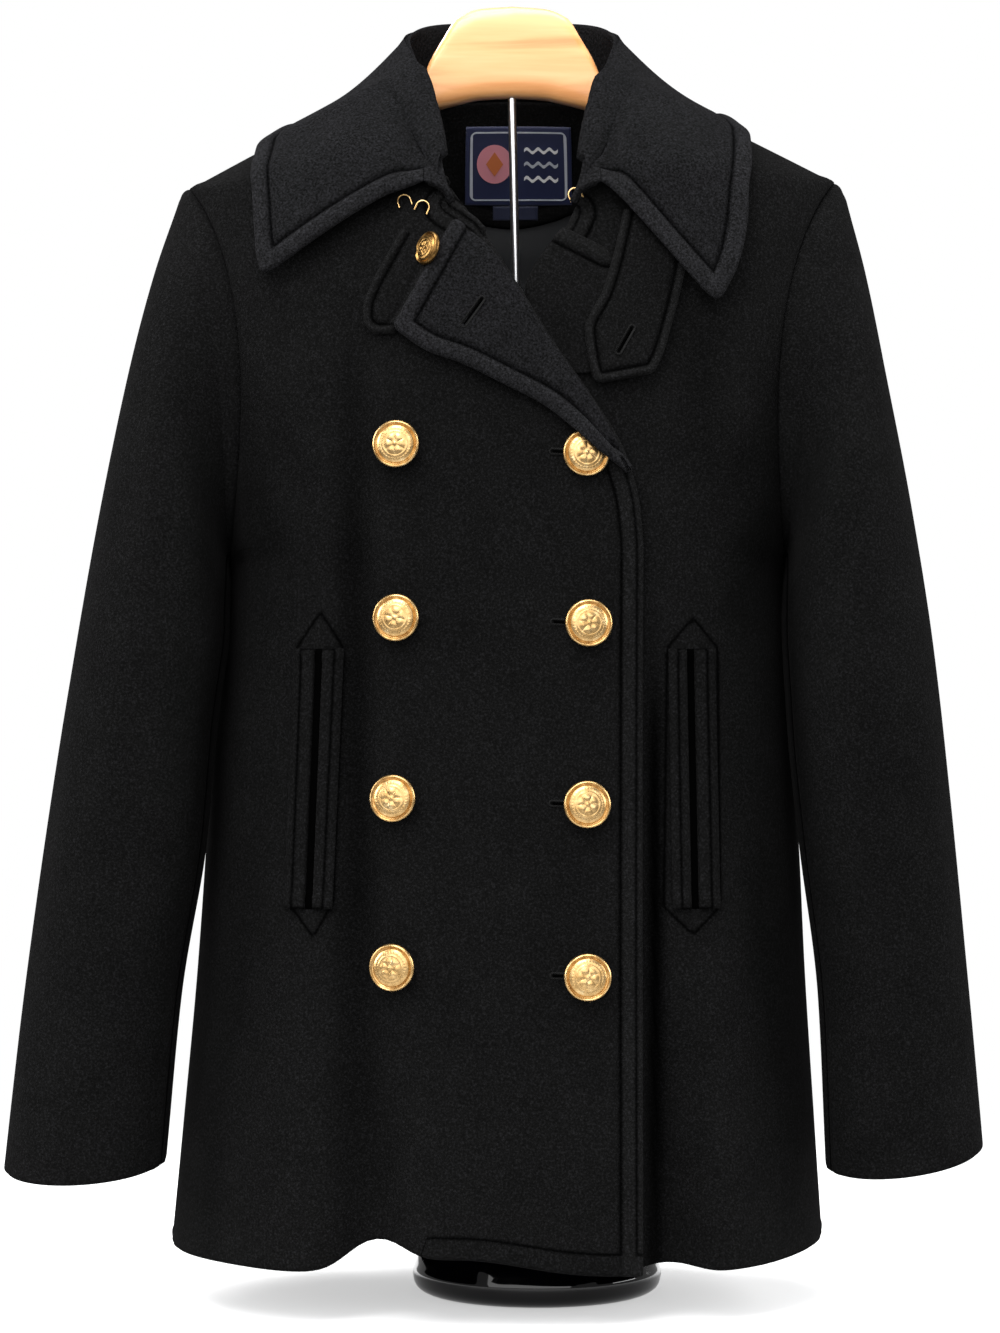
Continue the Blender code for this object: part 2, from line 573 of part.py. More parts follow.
def sleeve_ring(side_name, t, angles):
    """The right side of a sleeve's ring and its outward directions."""
    side = SIDES[side_name]
    sleeve = table(SLEEVE_ROWS[side_name], SLEEVE_COLUMNS)
    if t < 0:
        ring = [armhole(a if a <= math.pi else 2 * math.pi - a, side, -1 if a <= math.pi else 1) for a in angles]
        out = []
        for point, a in zip(ring, angles):
            tall = (TIP_Z[side] - UNDERARM_Z) / 2
            deep = ARMHOLE_DEPTH[-1 if a <= math.pi else 1]
            out.append(Vector((0.0, -math.sin(a) / deep, math.cos(a) / tall)).normalized())
        return ring, out
    outer = Vector((side * sleeve["outer_x"](t), sleeve["y"](t), sleeve["outer_z"](t)))
    inner = Vector((side * sleeve["inner_x"](t), sleeve["y"](t), sleeve["inner_z"](t)))
    middle, half = (outer + inner) / 2, (outer - inner) / 2
    deep = sleeve["half_depth"](t)
    ring, out = [], []
    for a in angles:
        face = -1 if a <= math.pi else 1
        reach = abs(math.sin(a))
        scoop = ARMHOLE_SCOOP[face] * reach ** 1.6 * (1 + 0.35 * math.cos(a)) * sleeve["scoop"](t)
        point = middle + half * math.cos(a) + Vector((0.0, -deep * math.sin(a), 0.0))
        point.x -= side * scoop
        point.z -= sleeve["drop"](t) * math.sin(a)
        ring.append(point)
        out.append((half.normalized() * math.cos(a) / half.length + Vector((0, -math.sin(a) / deep, 0))).normalized())
    return ring, out


def build_sleeves():
    turn = 2 * math.pi / (2 * ARMHOLE_STEPS)
    nudge = SEAM / 2 / 0.055
    for side_name, side in SIDES.items():
        for part, first, last in (
            ("top_sleeve", BACK_SEAM_STEP - 2 * ARMHOLE_STEPS, FRONT_SEAM_STEP),
            ("under_sleeve", FRONT_SEAM_STEP, BACK_SEAM_STEP),
        ):
            angles = [k * turn for k in range(first, last + 1)]
            angles[0] += nudge
            angles[-1] -= nudge
            angles = [a % (2 * math.pi) for a in angles]
            outer, directions = [], []
            for t in [-1.0] + spaced(SLEEVE_RINGS - 2):
                ring, out = sleeve_ring(side_name, t, angles)
                outer.append(ring)
                directions.append(out)
            inner = shifted(outer, directions, -CLOTH)
            wall(f"{side_name}_{part}", outer, inner, cloth, coat)


# Collar

def hermite(start, leave, end, arrive, t):
    return (start * (1 + 2 * t) * (1 - t) ** 2 + end * t * t * (3 - 2 * t)
            + leave * t * (1 - t) ** 2 - arrive * t * t * (1 - t))


def collar_section(seam, opening, inward, fold, edge, settle, clear):
    """The upper collar's line at one station: up the stand, over the fold, down the leaf."""
    start = seam + inward * (CLOTH + DOUBLED) / 2 + opening * clear
    out = Vector((edge.x - fold.x, edge.y - fold.y, 0.0)).normalized()
    stand = fold - start
    points = [hermite(start, opening * stand.length * 1.1, fold, out * FOLD_ROUND, t) for t in spaced(STAND_POINTS)]
    leaf = edge - fold
    arrive = Vector((leaf.x * (1.6 - 0.6 * settle), leaf.y * (1.6 - 0.6 * settle), leaf.z * settle))
    points += [hermite(fold, out * LEAF_ROUND, edge, arrive, t) for t in spaced(LEAF_POINTS)[1:]]
    return points


def clear_of_body(point, side, stand_off):
    """Keeps a leaf's point far enough over the body for the doubled cloth under it."""
    need = DOUBLED + stand_off
    x, z = point.x, point.z
    if z > shoulder_z(x) + 0.004:
        return point
    for panel, face in (("right_front" if side < 0 else "left_front", -1), ("back", 1)):
        if (point.y - RIDGE_Y) * face < 0.012:
            continue
        over, normal = on_body(x, min(z, shoulder_z(x) - 0.003), panel, need)
        if (point - over).dot(normal) < 0:
            point = point + normal * (over - point).dot(normal)
    return point


def build_collar():
    count = (len(COLLAR_ROWS) - 1) * (COLLAR_STEPS + 1)
    halves = {}
    for side_name, side in SIDES.items():
        stations = []
        for i in range(count + 1):
            t = i / count
            seam, fold = (Vector(along(column(COLLAR_ROWS, COLLAR_COLUMNS, name), t)) for name in ("seam", "fold"))
            edge = Vector(along(column(COLLAR_ROWS, COLLAR_COLUMNS, f"edge_{side_name}"), t))
            near = Vector(along(column(COLLAR_ROWS, COLLAR_COLUMNS, "seam"), max(t - 0.02, 0.0)))
            far = Vector(along(column(COLLAR_ROWS, COLLAR_COLUMNS, "seam"), min(t + 0.02, 1.0)))
            inward = Vector((-seam.x, -seam.y * (0.2 if seam.y < 0 else 1.0), 0.0)).normalized()
            opening = (far - near).cross(inward).normalized()
            if opening.z < 0:
                opening = -opening
            settle = along(column(COLLAR_ROWS, COLLAR_COLUMNS, "settle"), t)[0]
            clear = 2 * SEAM + NECK_RISE * ease(t / 0.6)
            section = collar_section(seam, opening, inward, fold, edge, settle, clear)
            section = [Vector((side * p.x, p.y, p.z)) for p in section]
            lift = STAND_POINTS + 2
            stand_off = mix(*STAND_OFF, ease((t - 0.45) / 0.35))
            section = section[:lift] + [clear_of_body(p, side, stand_off) for p in section[lift:]]
            stations.append(section)
        halves[side] = stations
    grid = list(reversed(halves[-1])) + halves[1][1:]
    directions = grid_normals(grid, 1)
    wall("collar", grid, shifted(grid, directions, -DOUBLED), cloth, coat)


# What lies on the fronts

def laid(name, panel, first, second, rows, columns, lift, thick, material):
    """A flat piece between two edges, following the panel it lies on. Lift is a function of the place."""
    lower, upper = [], []
    for i in spaced(rows):
        a, b = along(first, i), along(second, i)
        low, high = [], []
        for j in spaced(columns):
            x, z = mix(a[0], b[0], j), mix(a[1], b[1], j)
            up = lift(i, j)
            low.append(on_body(x, z, panel, up)[0])
            high.append(on_body(x, z, panel, up + thick)[0])
        lower.append(low)
        upper.append(high)
    return wall(name, upper, lower, material, coat)


def build_lapels_and_tabs():
    laid("right_lapel", "right_front", RIGHT_LAPEL_ROLL, RIGHT_LAPEL_OUTER, 12, 5,
         lambda t, w: 2 * SEAM + LAPEL_LIFT * w ** 0.6 * ease(t * 1.4), DOUBLED, cloth)
    laid("left_lapel", "left_front", LEFT_LAPEL_INNER, LEFT_LAPEL_OUTER, 8, 4,
         lambda t, w: SEAM, CLOTH, cloth)
    laid("left_tab", "right_front", LEFT_TAB_OUTER, LEFT_TAB_INNER, 8, 3,
         lambda t, w: SEAM + 0.001 * (1 - w), TAB_THICK, cloth)
    laid("right_tab", "left_front", RIGHT_TAB_INNER, RIGHT_TAB_OUTER, 8, 4,
         lambda t, w: CLOTH + 3 * SEAM + 0.002 * ease(t), TAB_THICK, cloth)


def build_pockets():
    for side_name, ends in POCKETS.items():
        side = SIDES[side_name]
        panel = "right_front" if side < 0 else "left_front"
        for welt, way in (("inner", -side), ("outer", side)):
            near, far = SLIT / 2, SLIT / 2 + WELT_WIDTH
            lines = [
                [(mix(ends[0], ends[1], t) + way * gap, mix(POCKET_TOP_Z, POCKET_BOTTOM_Z, t)) for t in spaced(6)]
                for gap in (near, far)
            ]
            laid(f"{side_name}_pocket_{welt}_welt", panel, lines[0], lines[1], 8, 2,
                 lambda t, w: 2 * SEAM, WELT_THICK, cloth)


def build_neck_inside():
    def inside(name, lines, thick, depths, material, rows, columns):
        """A piece on the back's wrong side, between a low and a high line and so deep at each."""
        low_line, high_line = lines
        near, far = [], []
        for i in spaced(rows):
            one, two = [], []
            depth = CLOTH + SEAM + mix(*depths, i ** 2)
            for j in spaced(columns):
                low, high = along(low_line, j), along(high_line, j)
                x, z = mix(low[0], high[0], i), mix(low[1], high[1], i)
                one.append(on_body(x, z, "back", -depth)[0])
                two.append(on_body(x, z, "back", -depth - thick)[0])
            near.append(one)
            far.append(two)
        wall(name, near, far, material, coat)

    over_lining = LINING + 2 * LINING_GAP
    inside("back_neck_facing", (
        ((-0.074, 0.7330), (-0.055, 0.6900), (0.0, 0.6700), (0.055, 0.6900), (0.074, 0.7330)),
        ((-0.072, 0.7420), (-0.050, 0.7465), (0.0, 0.7480), (0.050, 0.7465), (0.072, 0.7420)),
    ), FACING, (over_lining, 2 * SEAM), cloth, 6, 8)
    inside("back_lining", (
        ((-0.100, 0.4900), (-0.050, 0.4900), (0.0, 0.4900), (0.050, 0.4900), (0.100, 0.4900)),
        ((-0.094, 0.6600), (-0.060, 0.6920), (0.0, 0.6970), (0.060, 0.6920), (0.094, 0.6600)),
    ), LINING, (LINING_GAP, LINING_GAP), lining, 7, 12)
    over_facing = over_lining + FACING + 2 * SEAM
    inside("neck_label", (
        ((-0.0300, 0.6866), (0.0045, 0.6862), (0.0390, 0.6866)),
        ((-0.0300, 0.7337), (0.0045, 0.7337), (0.0390, 0.7337)),
    ), LABEL, (over_facing, over_facing), label, 3, 6)
    inside("size_tab", (
        ((-0.0120, 0.6770), (0.0030, 0.6770), (0.0170, 0.6770)),
        ((-0.0120, 0.6856), (0.0030, 0.6856), (0.0170, 0.6856)),
    ), LABEL, (over_facing, over_facing), label, 1, 3)


# Buttons, hooks and stand

def button_profile(diameter, high):
    """A domed button with a raised rim and a shank, measured up from the cloth."""
    r = diameter / 2
    dome = [(r * 0.80 * math.sin(a), high + 0.0022 * math.cos(a)) for a in (0.0, 0.45, 0.9, 1.25)]
    rim = [(r * 0.86, high - 0.0004), (r * 0.93, high + 0.0006), (r, high - 0.0005), (r * 0.94, high - 0.0024)]
    shank = [(r * 0.34, high - 0.0034), (r * 0.24, 0.0), (0.0, 0.0)]
    return dome + rim + shank


def build_buttons():
    for side_name, places in BUTTON_ROWS.items():
        for i, (x, z) in enumerate(places):
            piece = turned(f"button_{side_name}_{i + 1}", button_profile(BUTTON_DIAMETER, BUTTON_RISE), 18, gilt)
            point, normal = on_body(x, z, "right_front", SEAM + 0.0002)
            piece.rotation_euler = normal.to_track_quat("Z", "Y").to_euler()
            piece.location = point
            piece.parent = coat
    piece = turned("tab_button", button_profile(TAB_BUTTON_DIAMETER, TAB_BUTTON_RISE), 16, gilt)
    point, normal = on_body(*TAB_BUTTON_AT, "right_front", 0.0022)
    facing = Matrix.Rotation(TAB_BUTTON_TURN, 3, "Z") @ normal
    piece.rotation_euler = facing.to_track_quat("Z", "Y").to_euler()
    piece.location = point
    piece.parent = coat


def build_wire(name, points, material):
    curve = bpy.data.curves.new(name, "CURVE")
    curve.dimensions = "3D"
    curve.bevel_depth, curve.bevel_resolution = WIRE, 2
    curve.use_fill_caps = True
    spline = curve.splines.new("POLY")
    spline.points.add(len(points) - 1)
    for target, point in zip(spline.points, points):
        target.co = (*point, 1.0)
    curve.materials.append(material)
    piece = bpy.data.objects.new(name, curve)
    coat_collection.objects.link(piece)
    piece.parent = coat


def build_hooks():
    """Bent wire loops sewn under the collar's ends."""
    for name, panel, x, z, lean, gap in HOOK_ROWS:
        points = []
        for i in range(13):
            turn = math.pi * (i - 2) / 8
            if 2 <= i <= 10:
                local = (-math.cos(turn) * HOOK_WIDTH / 2, math.sin(turn) * HOOK_WIDTH / 2)
            else:
                down = (2 - i if i < 2 else i - 10) * HOOK_DROP / 2
                local = ((-1 if i < 2 else 1) * HOOK_WIDTH / 2, -down)
            across = local[0] * math.cos(lean) + local[1] * math.sin(lean)
            up = local[1] * math.cos(lean) - local[0] * math.sin(lean)
            points.append(on_body(x + across, z + up, panel, WIRE + gap)[0])
        build_wire(name, points, gilt)


def build_stand():
    hanger_sections = list(HANGER_ROWS)
    for t in spaced(6)[1:]:
        x = mix(HANGER_ROWS[-1][0], HANGER_END_X, t)
        top = min(shoulder_z(x), shoulder_z(-x)) - CLOTH * 1.35 - 0.0008
        depth = mix(HANGER_ROWS[-1][3], HANGER_END_DEPTH, t)
        hanger_sections.append((x, top, top - HANGER_THICK, depth))
    rings = []
    for side in (-1, 1):
        rows = hanger_sections if side == 1 else list(reversed(hanger_sections[1:]))
        for x, top, low, depth in rows:
            middle, tall = (top + low) / 2, (top - low) / 2
            ring = []
            for k in range(HANGER_SIDES):
                a = 2 * math.pi * k / HANGER_SIDES
                across = math.copysign(abs(math.sin(a)) ** HANGER_BLOCK, math.sin(a))
                ring.append(Vector((side * x, RIDGE_Y + depth * across, middle + tall * math.cos(a))))
            rings.append(ring)
    lofted("shoulder_piece", rings, beech, coat)

    turned("base", BASE_PROFILE, 40, enamel)
    foot = Vector((0.0, 0.0, BASE_PROFILE[0][1] + SEAM))
    head = Vector((COAT_CENTRE_X, RIDGE_Y, HANGER_ROWS[0][2] - SEAM))
    lean = head - foot
    bpy.ops.mesh.primitive_cylinder_add(vertices=20, radius=POLE_RADIUS, depth=lean.length - 2 * SEAM)
    pole = bpy.context.object
    pole.name = pole.data.name = "pole"
    pole.location = (foot + head) / 2
    pole.rotation_euler = lean.to_track_quat("Z", "Y").to_euler()
    pole.data.materials.append(steel)
    pole.data.shade_smooth()
    pole.data.set_sharp_from_angle(angle=math.radians(40))
    for collection in pole.users_collection:
        collection.objects.unlink(pole)
    coat_collection.objects.link(pole)


def make_material(name):
    colour, roughness, metallic = MATERIALS[name]
    material = bpy.data.materials.new(name)
    material.use_nodes = True
    shader = material.node_tree.nodes["Principled BSDF"]
    shader.inputs["Base Color"].default_value = (*colour, 1.0)
    shader.inputs["Roughness"].default_value = roughness
    shader.inputs["Metallic"].default_value = metallic
    material.diffuse_color = (*colour, 1.0)
    return material


for old in list(bpy.data.objects):
    bpy.data.objects.remove(old, do_unlink=True)
coat_collection = bpy.data.collections.new("pea_coat_on_stand")
bpy.context.scene.collection.children.link(coat_collection)
coat = bpy.data.objects.new("coat_centre", None)
coat.location = (COAT_CENTRE_X, 0.0, 0.0)
coat_collection.objects.link(coat)
cloth, lining, label, gilt, beech, steel, enamel = (make_material(name) for name in MATERIALS)

build_fronts()
build_back()
build_sleeves()
build_collar()
build_lapels_and_tabs()
build_pockets()
build_neck_inside()
build_buttons()
build_hooks()
build_stand()
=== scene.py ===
import math

import bmesh
import bpy
import numpy as np
from mathutils import Matrix, Vector


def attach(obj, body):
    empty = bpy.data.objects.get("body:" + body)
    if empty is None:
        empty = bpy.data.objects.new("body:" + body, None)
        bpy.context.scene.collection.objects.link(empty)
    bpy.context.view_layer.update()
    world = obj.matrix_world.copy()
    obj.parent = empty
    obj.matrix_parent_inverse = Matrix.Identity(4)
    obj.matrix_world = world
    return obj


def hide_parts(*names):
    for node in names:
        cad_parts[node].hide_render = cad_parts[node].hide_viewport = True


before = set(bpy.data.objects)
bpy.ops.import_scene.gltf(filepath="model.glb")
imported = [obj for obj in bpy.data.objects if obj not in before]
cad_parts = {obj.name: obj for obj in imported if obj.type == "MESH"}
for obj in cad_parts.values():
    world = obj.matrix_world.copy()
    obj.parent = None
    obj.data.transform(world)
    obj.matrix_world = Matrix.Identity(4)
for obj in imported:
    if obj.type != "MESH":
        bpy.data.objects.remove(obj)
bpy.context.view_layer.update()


# small sums used all over

def ease(t):
    t = np.clip(t, 0.0, 1.0)
    return t * t * (3 - 2 * t)


def mix(a, b, t):
    return a + (b - a) * t


def bump(distance, width):
    return np.exp(-(distance / width) ** 2)


def unit(vectors):
    return vectors / np.maximum(np.linalg.norm(vectors, axis=-1, keepdims=True), 1e-12)


def curveThrough(knots, values):    # a smooth line that never overshoots its points
    knots, values = np.array(knots, float), np.array(values, float)
    steps = np.diff(knots)
    slopes = np.diff(values) / steps
    before, after = slopes[:-1], slopes[1:]
    total = np.where(before * after > 0, before + after, 1.0)
    inner = np.where(before * after > 0, 2 * before * after / total, 0.0)
    tangents = np.concatenate([slopes[:1], inner, slopes[-1:]])

    def value(x):
        x = np.clip(x, knots[0], knots[-1])
        i = np.clip(np.searchsorted(knots, x, side="right") - 1, 0, len(steps) - 1)
        h = steps[i]
        t = (x - knots[i]) / h
        rise = values[i] * (1 + 2 * t) * (1 - t) ** 2 + values[i + 1] * t * t * (3 - 2 * t)
        return rise + h * (tangents[i] * t * (1 - t) ** 2 - tangents[i + 1] * t * t * (1 - t))

    return value


def pathThrough(points):            # the same through points in the plane or in space, t from 0 to 1
    lines = [curveThrough(range(len(points)), values) for values in zip(*points)]
    return lambda t: np.stack([line(np.asarray(t) * (len(points) - 1)) for line in lines], axis=-1)


def linesOf(rows):                  # a smooth line for each column of a table, over its first column
    return [curveThrough([row[0] for row in rows], values) for values in list(zip(*rows))[1:]]


def creaseDepth(a, b, rows):        # soft troughs, and ridges where the depth is below 0
    total = np.zeros(np.shape(a))
    for a0, b0, a1, b1, bend, width, depth in rows:
        overA, overB = a1 - a0, b1 - b0
        length = math.hypot(overA, overB)
        t = ((a - a0) * overA + (b - b0) * overB) / length ** 2
        off = ((a - a0) * overB - (b - b0) * overA) / length - bend * np.sin(np.pi * np.clip(t, 0, 1))
        wide = width * (0.7 + 0.5 * np.clip(t, 0, 1))
        total += depth * ease(np.minimum(t, 1 - t) * 2.6) * bump(off, wide)
    return total


# finishes

def colour(code):
    parts = [int(code[i:i + 2], 16) / 255 for i in (1, 3, 5)]
    return tuple(c / 12.92 if c <= 0.04045 else ((c + 0.055) / 1.055) ** 2.4 for c in parts) + (1.0,)


def addNode(tree, kind, inputs, output=0, stops=(), **settings):
    node = tree.nodes.new("ShaderNode" + kind)
    for key, value in settings.items():
        setattr(node, key, value)
    for key, value in inputs.items():
        if isinstance(value, bpy.types.NodeSocket):
            tree.links.new(value, node.inputs[key])
        else:
            node.inputs[key].default_value = value
    if len(stops) > 2:
        node.color_ramp.elements.new(0.5)
    for k, (place, code) in enumerate(stops):
        element = node.color_ramp.elements[k]
        element.position, element.color = place, colour(code)
    return node.outputs[output]


def newMaterial(name, sockets):
    material = bpy.data.materials.new(name)
    material.use_nodes = True
    shader = material.node_tree.nodes["Principled BSDF"]
    for key, value in sockets.items():
        shader.inputs[key].default_value = value
    material.diffuse_color = shader.inputs["Base Color"].default_value[:]
    return material, material.node_tree, shader


melton = {
    "deep": "#0A0A0A", "ground": "#0F0F0F", "fleck": "#1A1A1B", "sheen": "#A8A6A6",
    # a lighter ground and fleck for the collar and the lapel: painted light
    "paintedLitGround": "#151516", "paintedLitFleck": "#202022",
    "fleckScale": 760.0, "napScale": 300.0, "mottleScale": 34.0,      # features to the metre
    "mottle": (0.78, 1.22),
    "stitchWidth": 0.0011, "stitchPull": 3.0, "grooveShade": -0.78, "paintedLightStrength": 0.34,
    "nap": 0.17, "napDepth": 0.0010,
}


def makeMelton(name, ground, fleckCode):
    material, tree, shader = newMaterial(name, {
        "Base Color": colour(ground), "Roughness": 1.0, "Specular IOR Level": 0.0,
        "Sheen Weight": 0.012, "Sheen Roughness": 0.5, "Sheen Tint": colour(melton["sheen"]),
    })
    place = addNode(tree, "TexCoord", {}, "Object")
    # loose grey fibres over black ones: the heather that shows close to
    fleck = addNode(tree, "TexNoise", {
        "Vector": place, "Scale": melton["fleckScale"], "Detail": 2.0, "Roughness": 0.7}, "Fac")
    nap = addNode(tree, "TexNoise", {
        "Vector": place, "Scale": melton["napScale"], "Detail": 4.0, "Roughness": 0.65}, "Fac")
    mottle = addNode(tree, "TexNoise", {
        "Vector": place, "Scale": melton["mottleScale"], "Detail": 3.0}, "Fac")
    tone = addNode(tree, "ValToRGB", {"Fac": fleck}, 0,
                   ((0.34, melton["deep"]), (0.52, ground), (0.72, fleckCode)))
    # milled cloth is never quite even: a slow change of tone
    patch = addNode(tree, "MapRange", {"Value": mottle, 3: melton["mottle"][0], 4: melton["mottle"][1]})
    # a pressed groove along each row of stitches, where painted shade darkens the cloth's colour
    gap = addNode(tree, "Attribute", {}, "Fac", attribute_name="stitching")
    share = addNode(tree, "Math", {0: gap, 1: melton["stitchWidth"]}, operation="DIVIDE")
    square = addNode(tree, "Math", {0: share, 1: share}, operation="MULTIPLY")
    fall = addNode(tree, "Math", {0: square, 1: -1.0}, operation="MULTIPLY")
    groove = addNode(tree, "Math", {0: fall}, operation="EXPONENT")
    shade = addNode(tree, "Math", {0: groove, 1: melton["grooveShade"], 2: 1.0}, operation="MULTIPLY_ADD")
    # painted light and shade: the turned borders are painted lighter, as where the light catches them, and
    # the folds are painted darker, as where shade falls
    border = addNode(tree, "Attribute", {}, "Fac", attribute_name="pressed")
    paintedLightShade = addNode(tree, "Math", {0: border, 1: melton["paintedLightStrength"], 2: 1.0}, operation="MULTIPLY_ADD")
    shown = addNode(tree, "Math", {0: patch, 1: paintedLightShade}, operation="MULTIPLY")
    level = addNode(tree, "Math", {0: shown, 1: shade}, operation="MULTIPLY")
    dyed = addNode(tree, "VectorMath", {0: tone, "Scale": level}, operation="SCALE")
    tree.links.new(dyed, shader.inputs["Base Color"])
    # the raised nap, felted so that no weave shows
    fibres = addNode(tree, "Math", {0: nap, 1: fleck}, operation="ADD")
    pulled = addNode(tree, "Math", {0: groove, 1: -melton["stitchPull"], 2: fibres}, operation="MULTIPLY_ADD")
    surface = addNode(tree, "Bump", {
        "Height": pulled, "Strength": melton["nap"], "Distance": melton["napDepth"]})
    tree.links.new(surface, shader.inputs["Normal"])
    return material


def makeTwill(name, light, dark, scale):
    material, tree, shader = newMaterial(name, {
        "Base Color": colour(light), "Roughness": 0.5, "Sheen Weight": 0.2})
    place = addNode(tree, "TexCoord", {}, "Object")
    # fine slanting ribs of a satin-backed twill
    ribs = addNode(tree, "TexWave", {"Vector": place, "Scale": scale, "Distortion": 0.3}, "Fac",
                   bands_direction="DIAGONAL")
    dyed = addNode(tree, "ValToRGB", {"Fac": ribs}, 0, ((0.2, dark), (0.8, light)))
    tree.links.new(dyed, shader.inputs["Base Color"])
    raised = addNode(tree, "Bump", {"Height": ribs, "Strength": 0.3, "Distance": 0.0003})
    tree.links.new(raised, shader.inputs["Normal"])
    return material


def makeGilt(name, hollow, plated, rubbed):
    material, tree, shader = newMaterial(name, {
        "Base Color": colour(plated), "Metallic": 1.0, "Roughness": 0.34})
    place = addNode(tree, "TexCoord", {}, "Object")
    # plating rubbed paler on top and duller in its hollows
    wear = addNode(tree, "TexNoise", {"Vector": place, "Scale": 260.0, "Detail": 4.0}, "Fac")
    worn = addNode(tree, "ValToRGB", {"Fac": wear}, 0, ((0.3, hollow), (0.6, plated), (0.8, rubbed)))
    tree.links.new(worn, shader.inputs["Base Color"])
    rough = addNode(tree, "MapRange", {"Value": wear, 3: 0.42, 4: 0.26})
    tree.links.new(rough, shader.inputs["Roughness"])
    return material


def makeBeech(name):
    material, tree, shader = newMaterial(name, {
        "Base Color": colour("#E8B070"), "Roughness": 0.38, "Coat Weight": 0.4, "Coat Roughness": 0.15})
    place = addNode(tree, "TexCoord", {}, "Object")
    # long straight grain along the piece with beech's short darker flecks
    along = addNode(tree, "Mapping", {"Vector": place, "Scale": (6.0, 90.0, 90.0)})
    grain = addNode(tree, "TexNoise", {
        "Vector": along, "Scale": 1.0, "Detail": 5.0, "Distortion": 0.4}, "Fac")
    streaks = addNode(tree, "ValToRGB", {"Fac": grain}, 0,
                      ((0.3, "#CB8348"), (0.5, "#E3A265"), (0.7, "#F0B67E")))
    tree.links.new(streaks, shader.inputs["Base Color"])
    return material


def makePlain(name, code, **sockets):
    sockets = {key.replace("_", " "): value for key, value in sockets.items()}
    return newMaterial(name, {"Base Color": colour(code), **sockets})[0]


meltonBlack = makeMelton("milled_black_wool_melton", melton["ground"], melton["fleck"])
# painted light: a lighter copy of the same melton for the collar and the lapel, whose cloth faces up into the
# light
meltonPaintedLit = makeMelton("melton_painted_lighter_as_lit", melton["paintedLitGround"], melton["paintedLitFleck"])
liningTwill = makeTwill("grey_twill_lining", "#2B2C2F", "#1A1B1D", 900.0)
labelSatin = makeTwill("navy_woven_label", "#1A2450", "#121A3C", 1400.0)
tabSatin = makeTwill("navy_woven_size_tab", "#262C48", "#1A1F36", 1400.0)
giltBrass = makeGilt("worn_gilt_brass", "#AE8A56", "#CDAA74", "#E8D0A0")
# painted shade: a darker copy of the gilt for the tab button, which sits in the lapel's shade
shadedGilt = makeGilt("gilt_brass_painted_in_shade", "#5E4424", "#8A6A3C", "#B8935A")
beechWood = makeBeech("lacquered_steamed_beech")
polishedSteel = makePlain("polished_steel", "#E4E4E6", Metallic=1.0, Roughness=0.30)
blackEnamel = makePlain("black_gloss_enamel", "#020203", Roughness=0.10, Specular_IOR_Level=0.1,
                        Coat_Weight=1.0, Coat_Roughness=0.03, Coat_IOR=1.4)
blackThread = makePlain("waxed_black_thread", "#0D0D0D", Roughness=0.8, Specular_IOR_Level=0.10)
# painted shade: near-black pocketing behind the pocket slits, and a dark line along each buttonhole's slit,
# stand for the shade in those openings
slitShadePocketing = makePlain("pocketing_painted_near_black_as_shade", "#020202", Roughness=1.0, Specular_IOR_Level=0.0)
silverThread = makePlain("silver_grey_thread", "#B9BEC8", Roughness=0.5)
rustThread = makePlain("rust_thread", "#C46A34", Roughness=0.6)
pinkThread = makePlain("pink_thread", "#D78A96", Roughness=0.6)
whiteThread = makePlain("white_thread", "#E8E8EA", Roughness=0.6)
print("finishes mixed")


# the coat's own form, in metres; x is counted from its centre line

coat = {
    "centreX": -0.0155, "cloth": 0.0025, "doubled": 0.0042, "lapGap": 0.0030,
    "bottomZ": 0.030, "underarmZ": 0.455, "tipX": 0.200, "tipZ": (0.6835, 0.6875),
    "neckX": 0.085, "neckZ": 0.7455, "ridgeY": 0.004, "fullness": 2.5,
    "armholeDepth": (0.066, 0.068), "armholeScoop": (0.0225, 0.012),      # in front, behind
    "lapUnder": (0.125, 0.690), "lapEase": 0.030, "foldShade": 1.4, "foldDepth": 0.009,
    "lapShade": 2.0, "lapShadeX": 0.0842, "lapShadeWidth": 0.0055, "lapShadeTop": 0.43, "lapShadeFade": 0.10,
    "underarmEase": (0.06, 0.08), "tipEase": (0.07, 0.05), "nearEdge": 0.72,
    "sections": (      # height, swing sideways, half width, reach to front and back, roundness
        (0.030, -0.0092, 0.2010, 0.1330, 0.1380, 2.1), (0.110, -0.0080, 0.1945, 0.1300, 0.1320, 2.1),
        (0.200, -0.0067, 0.1875, 0.1260, 0.1240, 2.2), (0.285, -0.0058, 0.1825, 0.1215, 0.1160, 2.2),
        (0.340, -0.0060, 0.1788, 0.1180, 0.1110, 2.2), (0.380, -0.0045, 0.1750, 0.1155, 0.1095, 2.2),
        (0.430, -0.0034, 0.1716, 0.1135, 0.1085, 2.1), (0.455, -0.0030, 0.1708, 0.1130, 0.1085, 2.0),
        (0.520, -0.0030, 0.1708, 0.1115, 0.1090, 1.6), (0.580, -0.0030, 0.1708, 0.1065, 0.1075, 1.5),
        (0.630, -0.0030, 0.1708, 0.0985, 0.1020, 1.5), (0.665, -0.0030, 0.1708, 0.0875, 0.0935, 1.65),
        (0.685, -0.0030, 0.1708, 0.0785, 0.0865, 1.9), (0.705, -0.0030, 0.1708, 0.0665, 0.0790, 2.0),
        (0.725, -0.0030, 0.1708, 0.0520, 0.0725, 2.0), (0.745, -0.0030, 0.1708, 0.0360, 0.0670, 2.0),
        (0.765, -0.0030, 0.1708, 0.0220, 0.0620, 2.0),
    ),
    "hem": ((-0.21, 0.031), (-0.10, 0.030), (0.00, 0.030), (0.08, 0.029), (0.15, 0.031), (0.20, 0.036)),
}
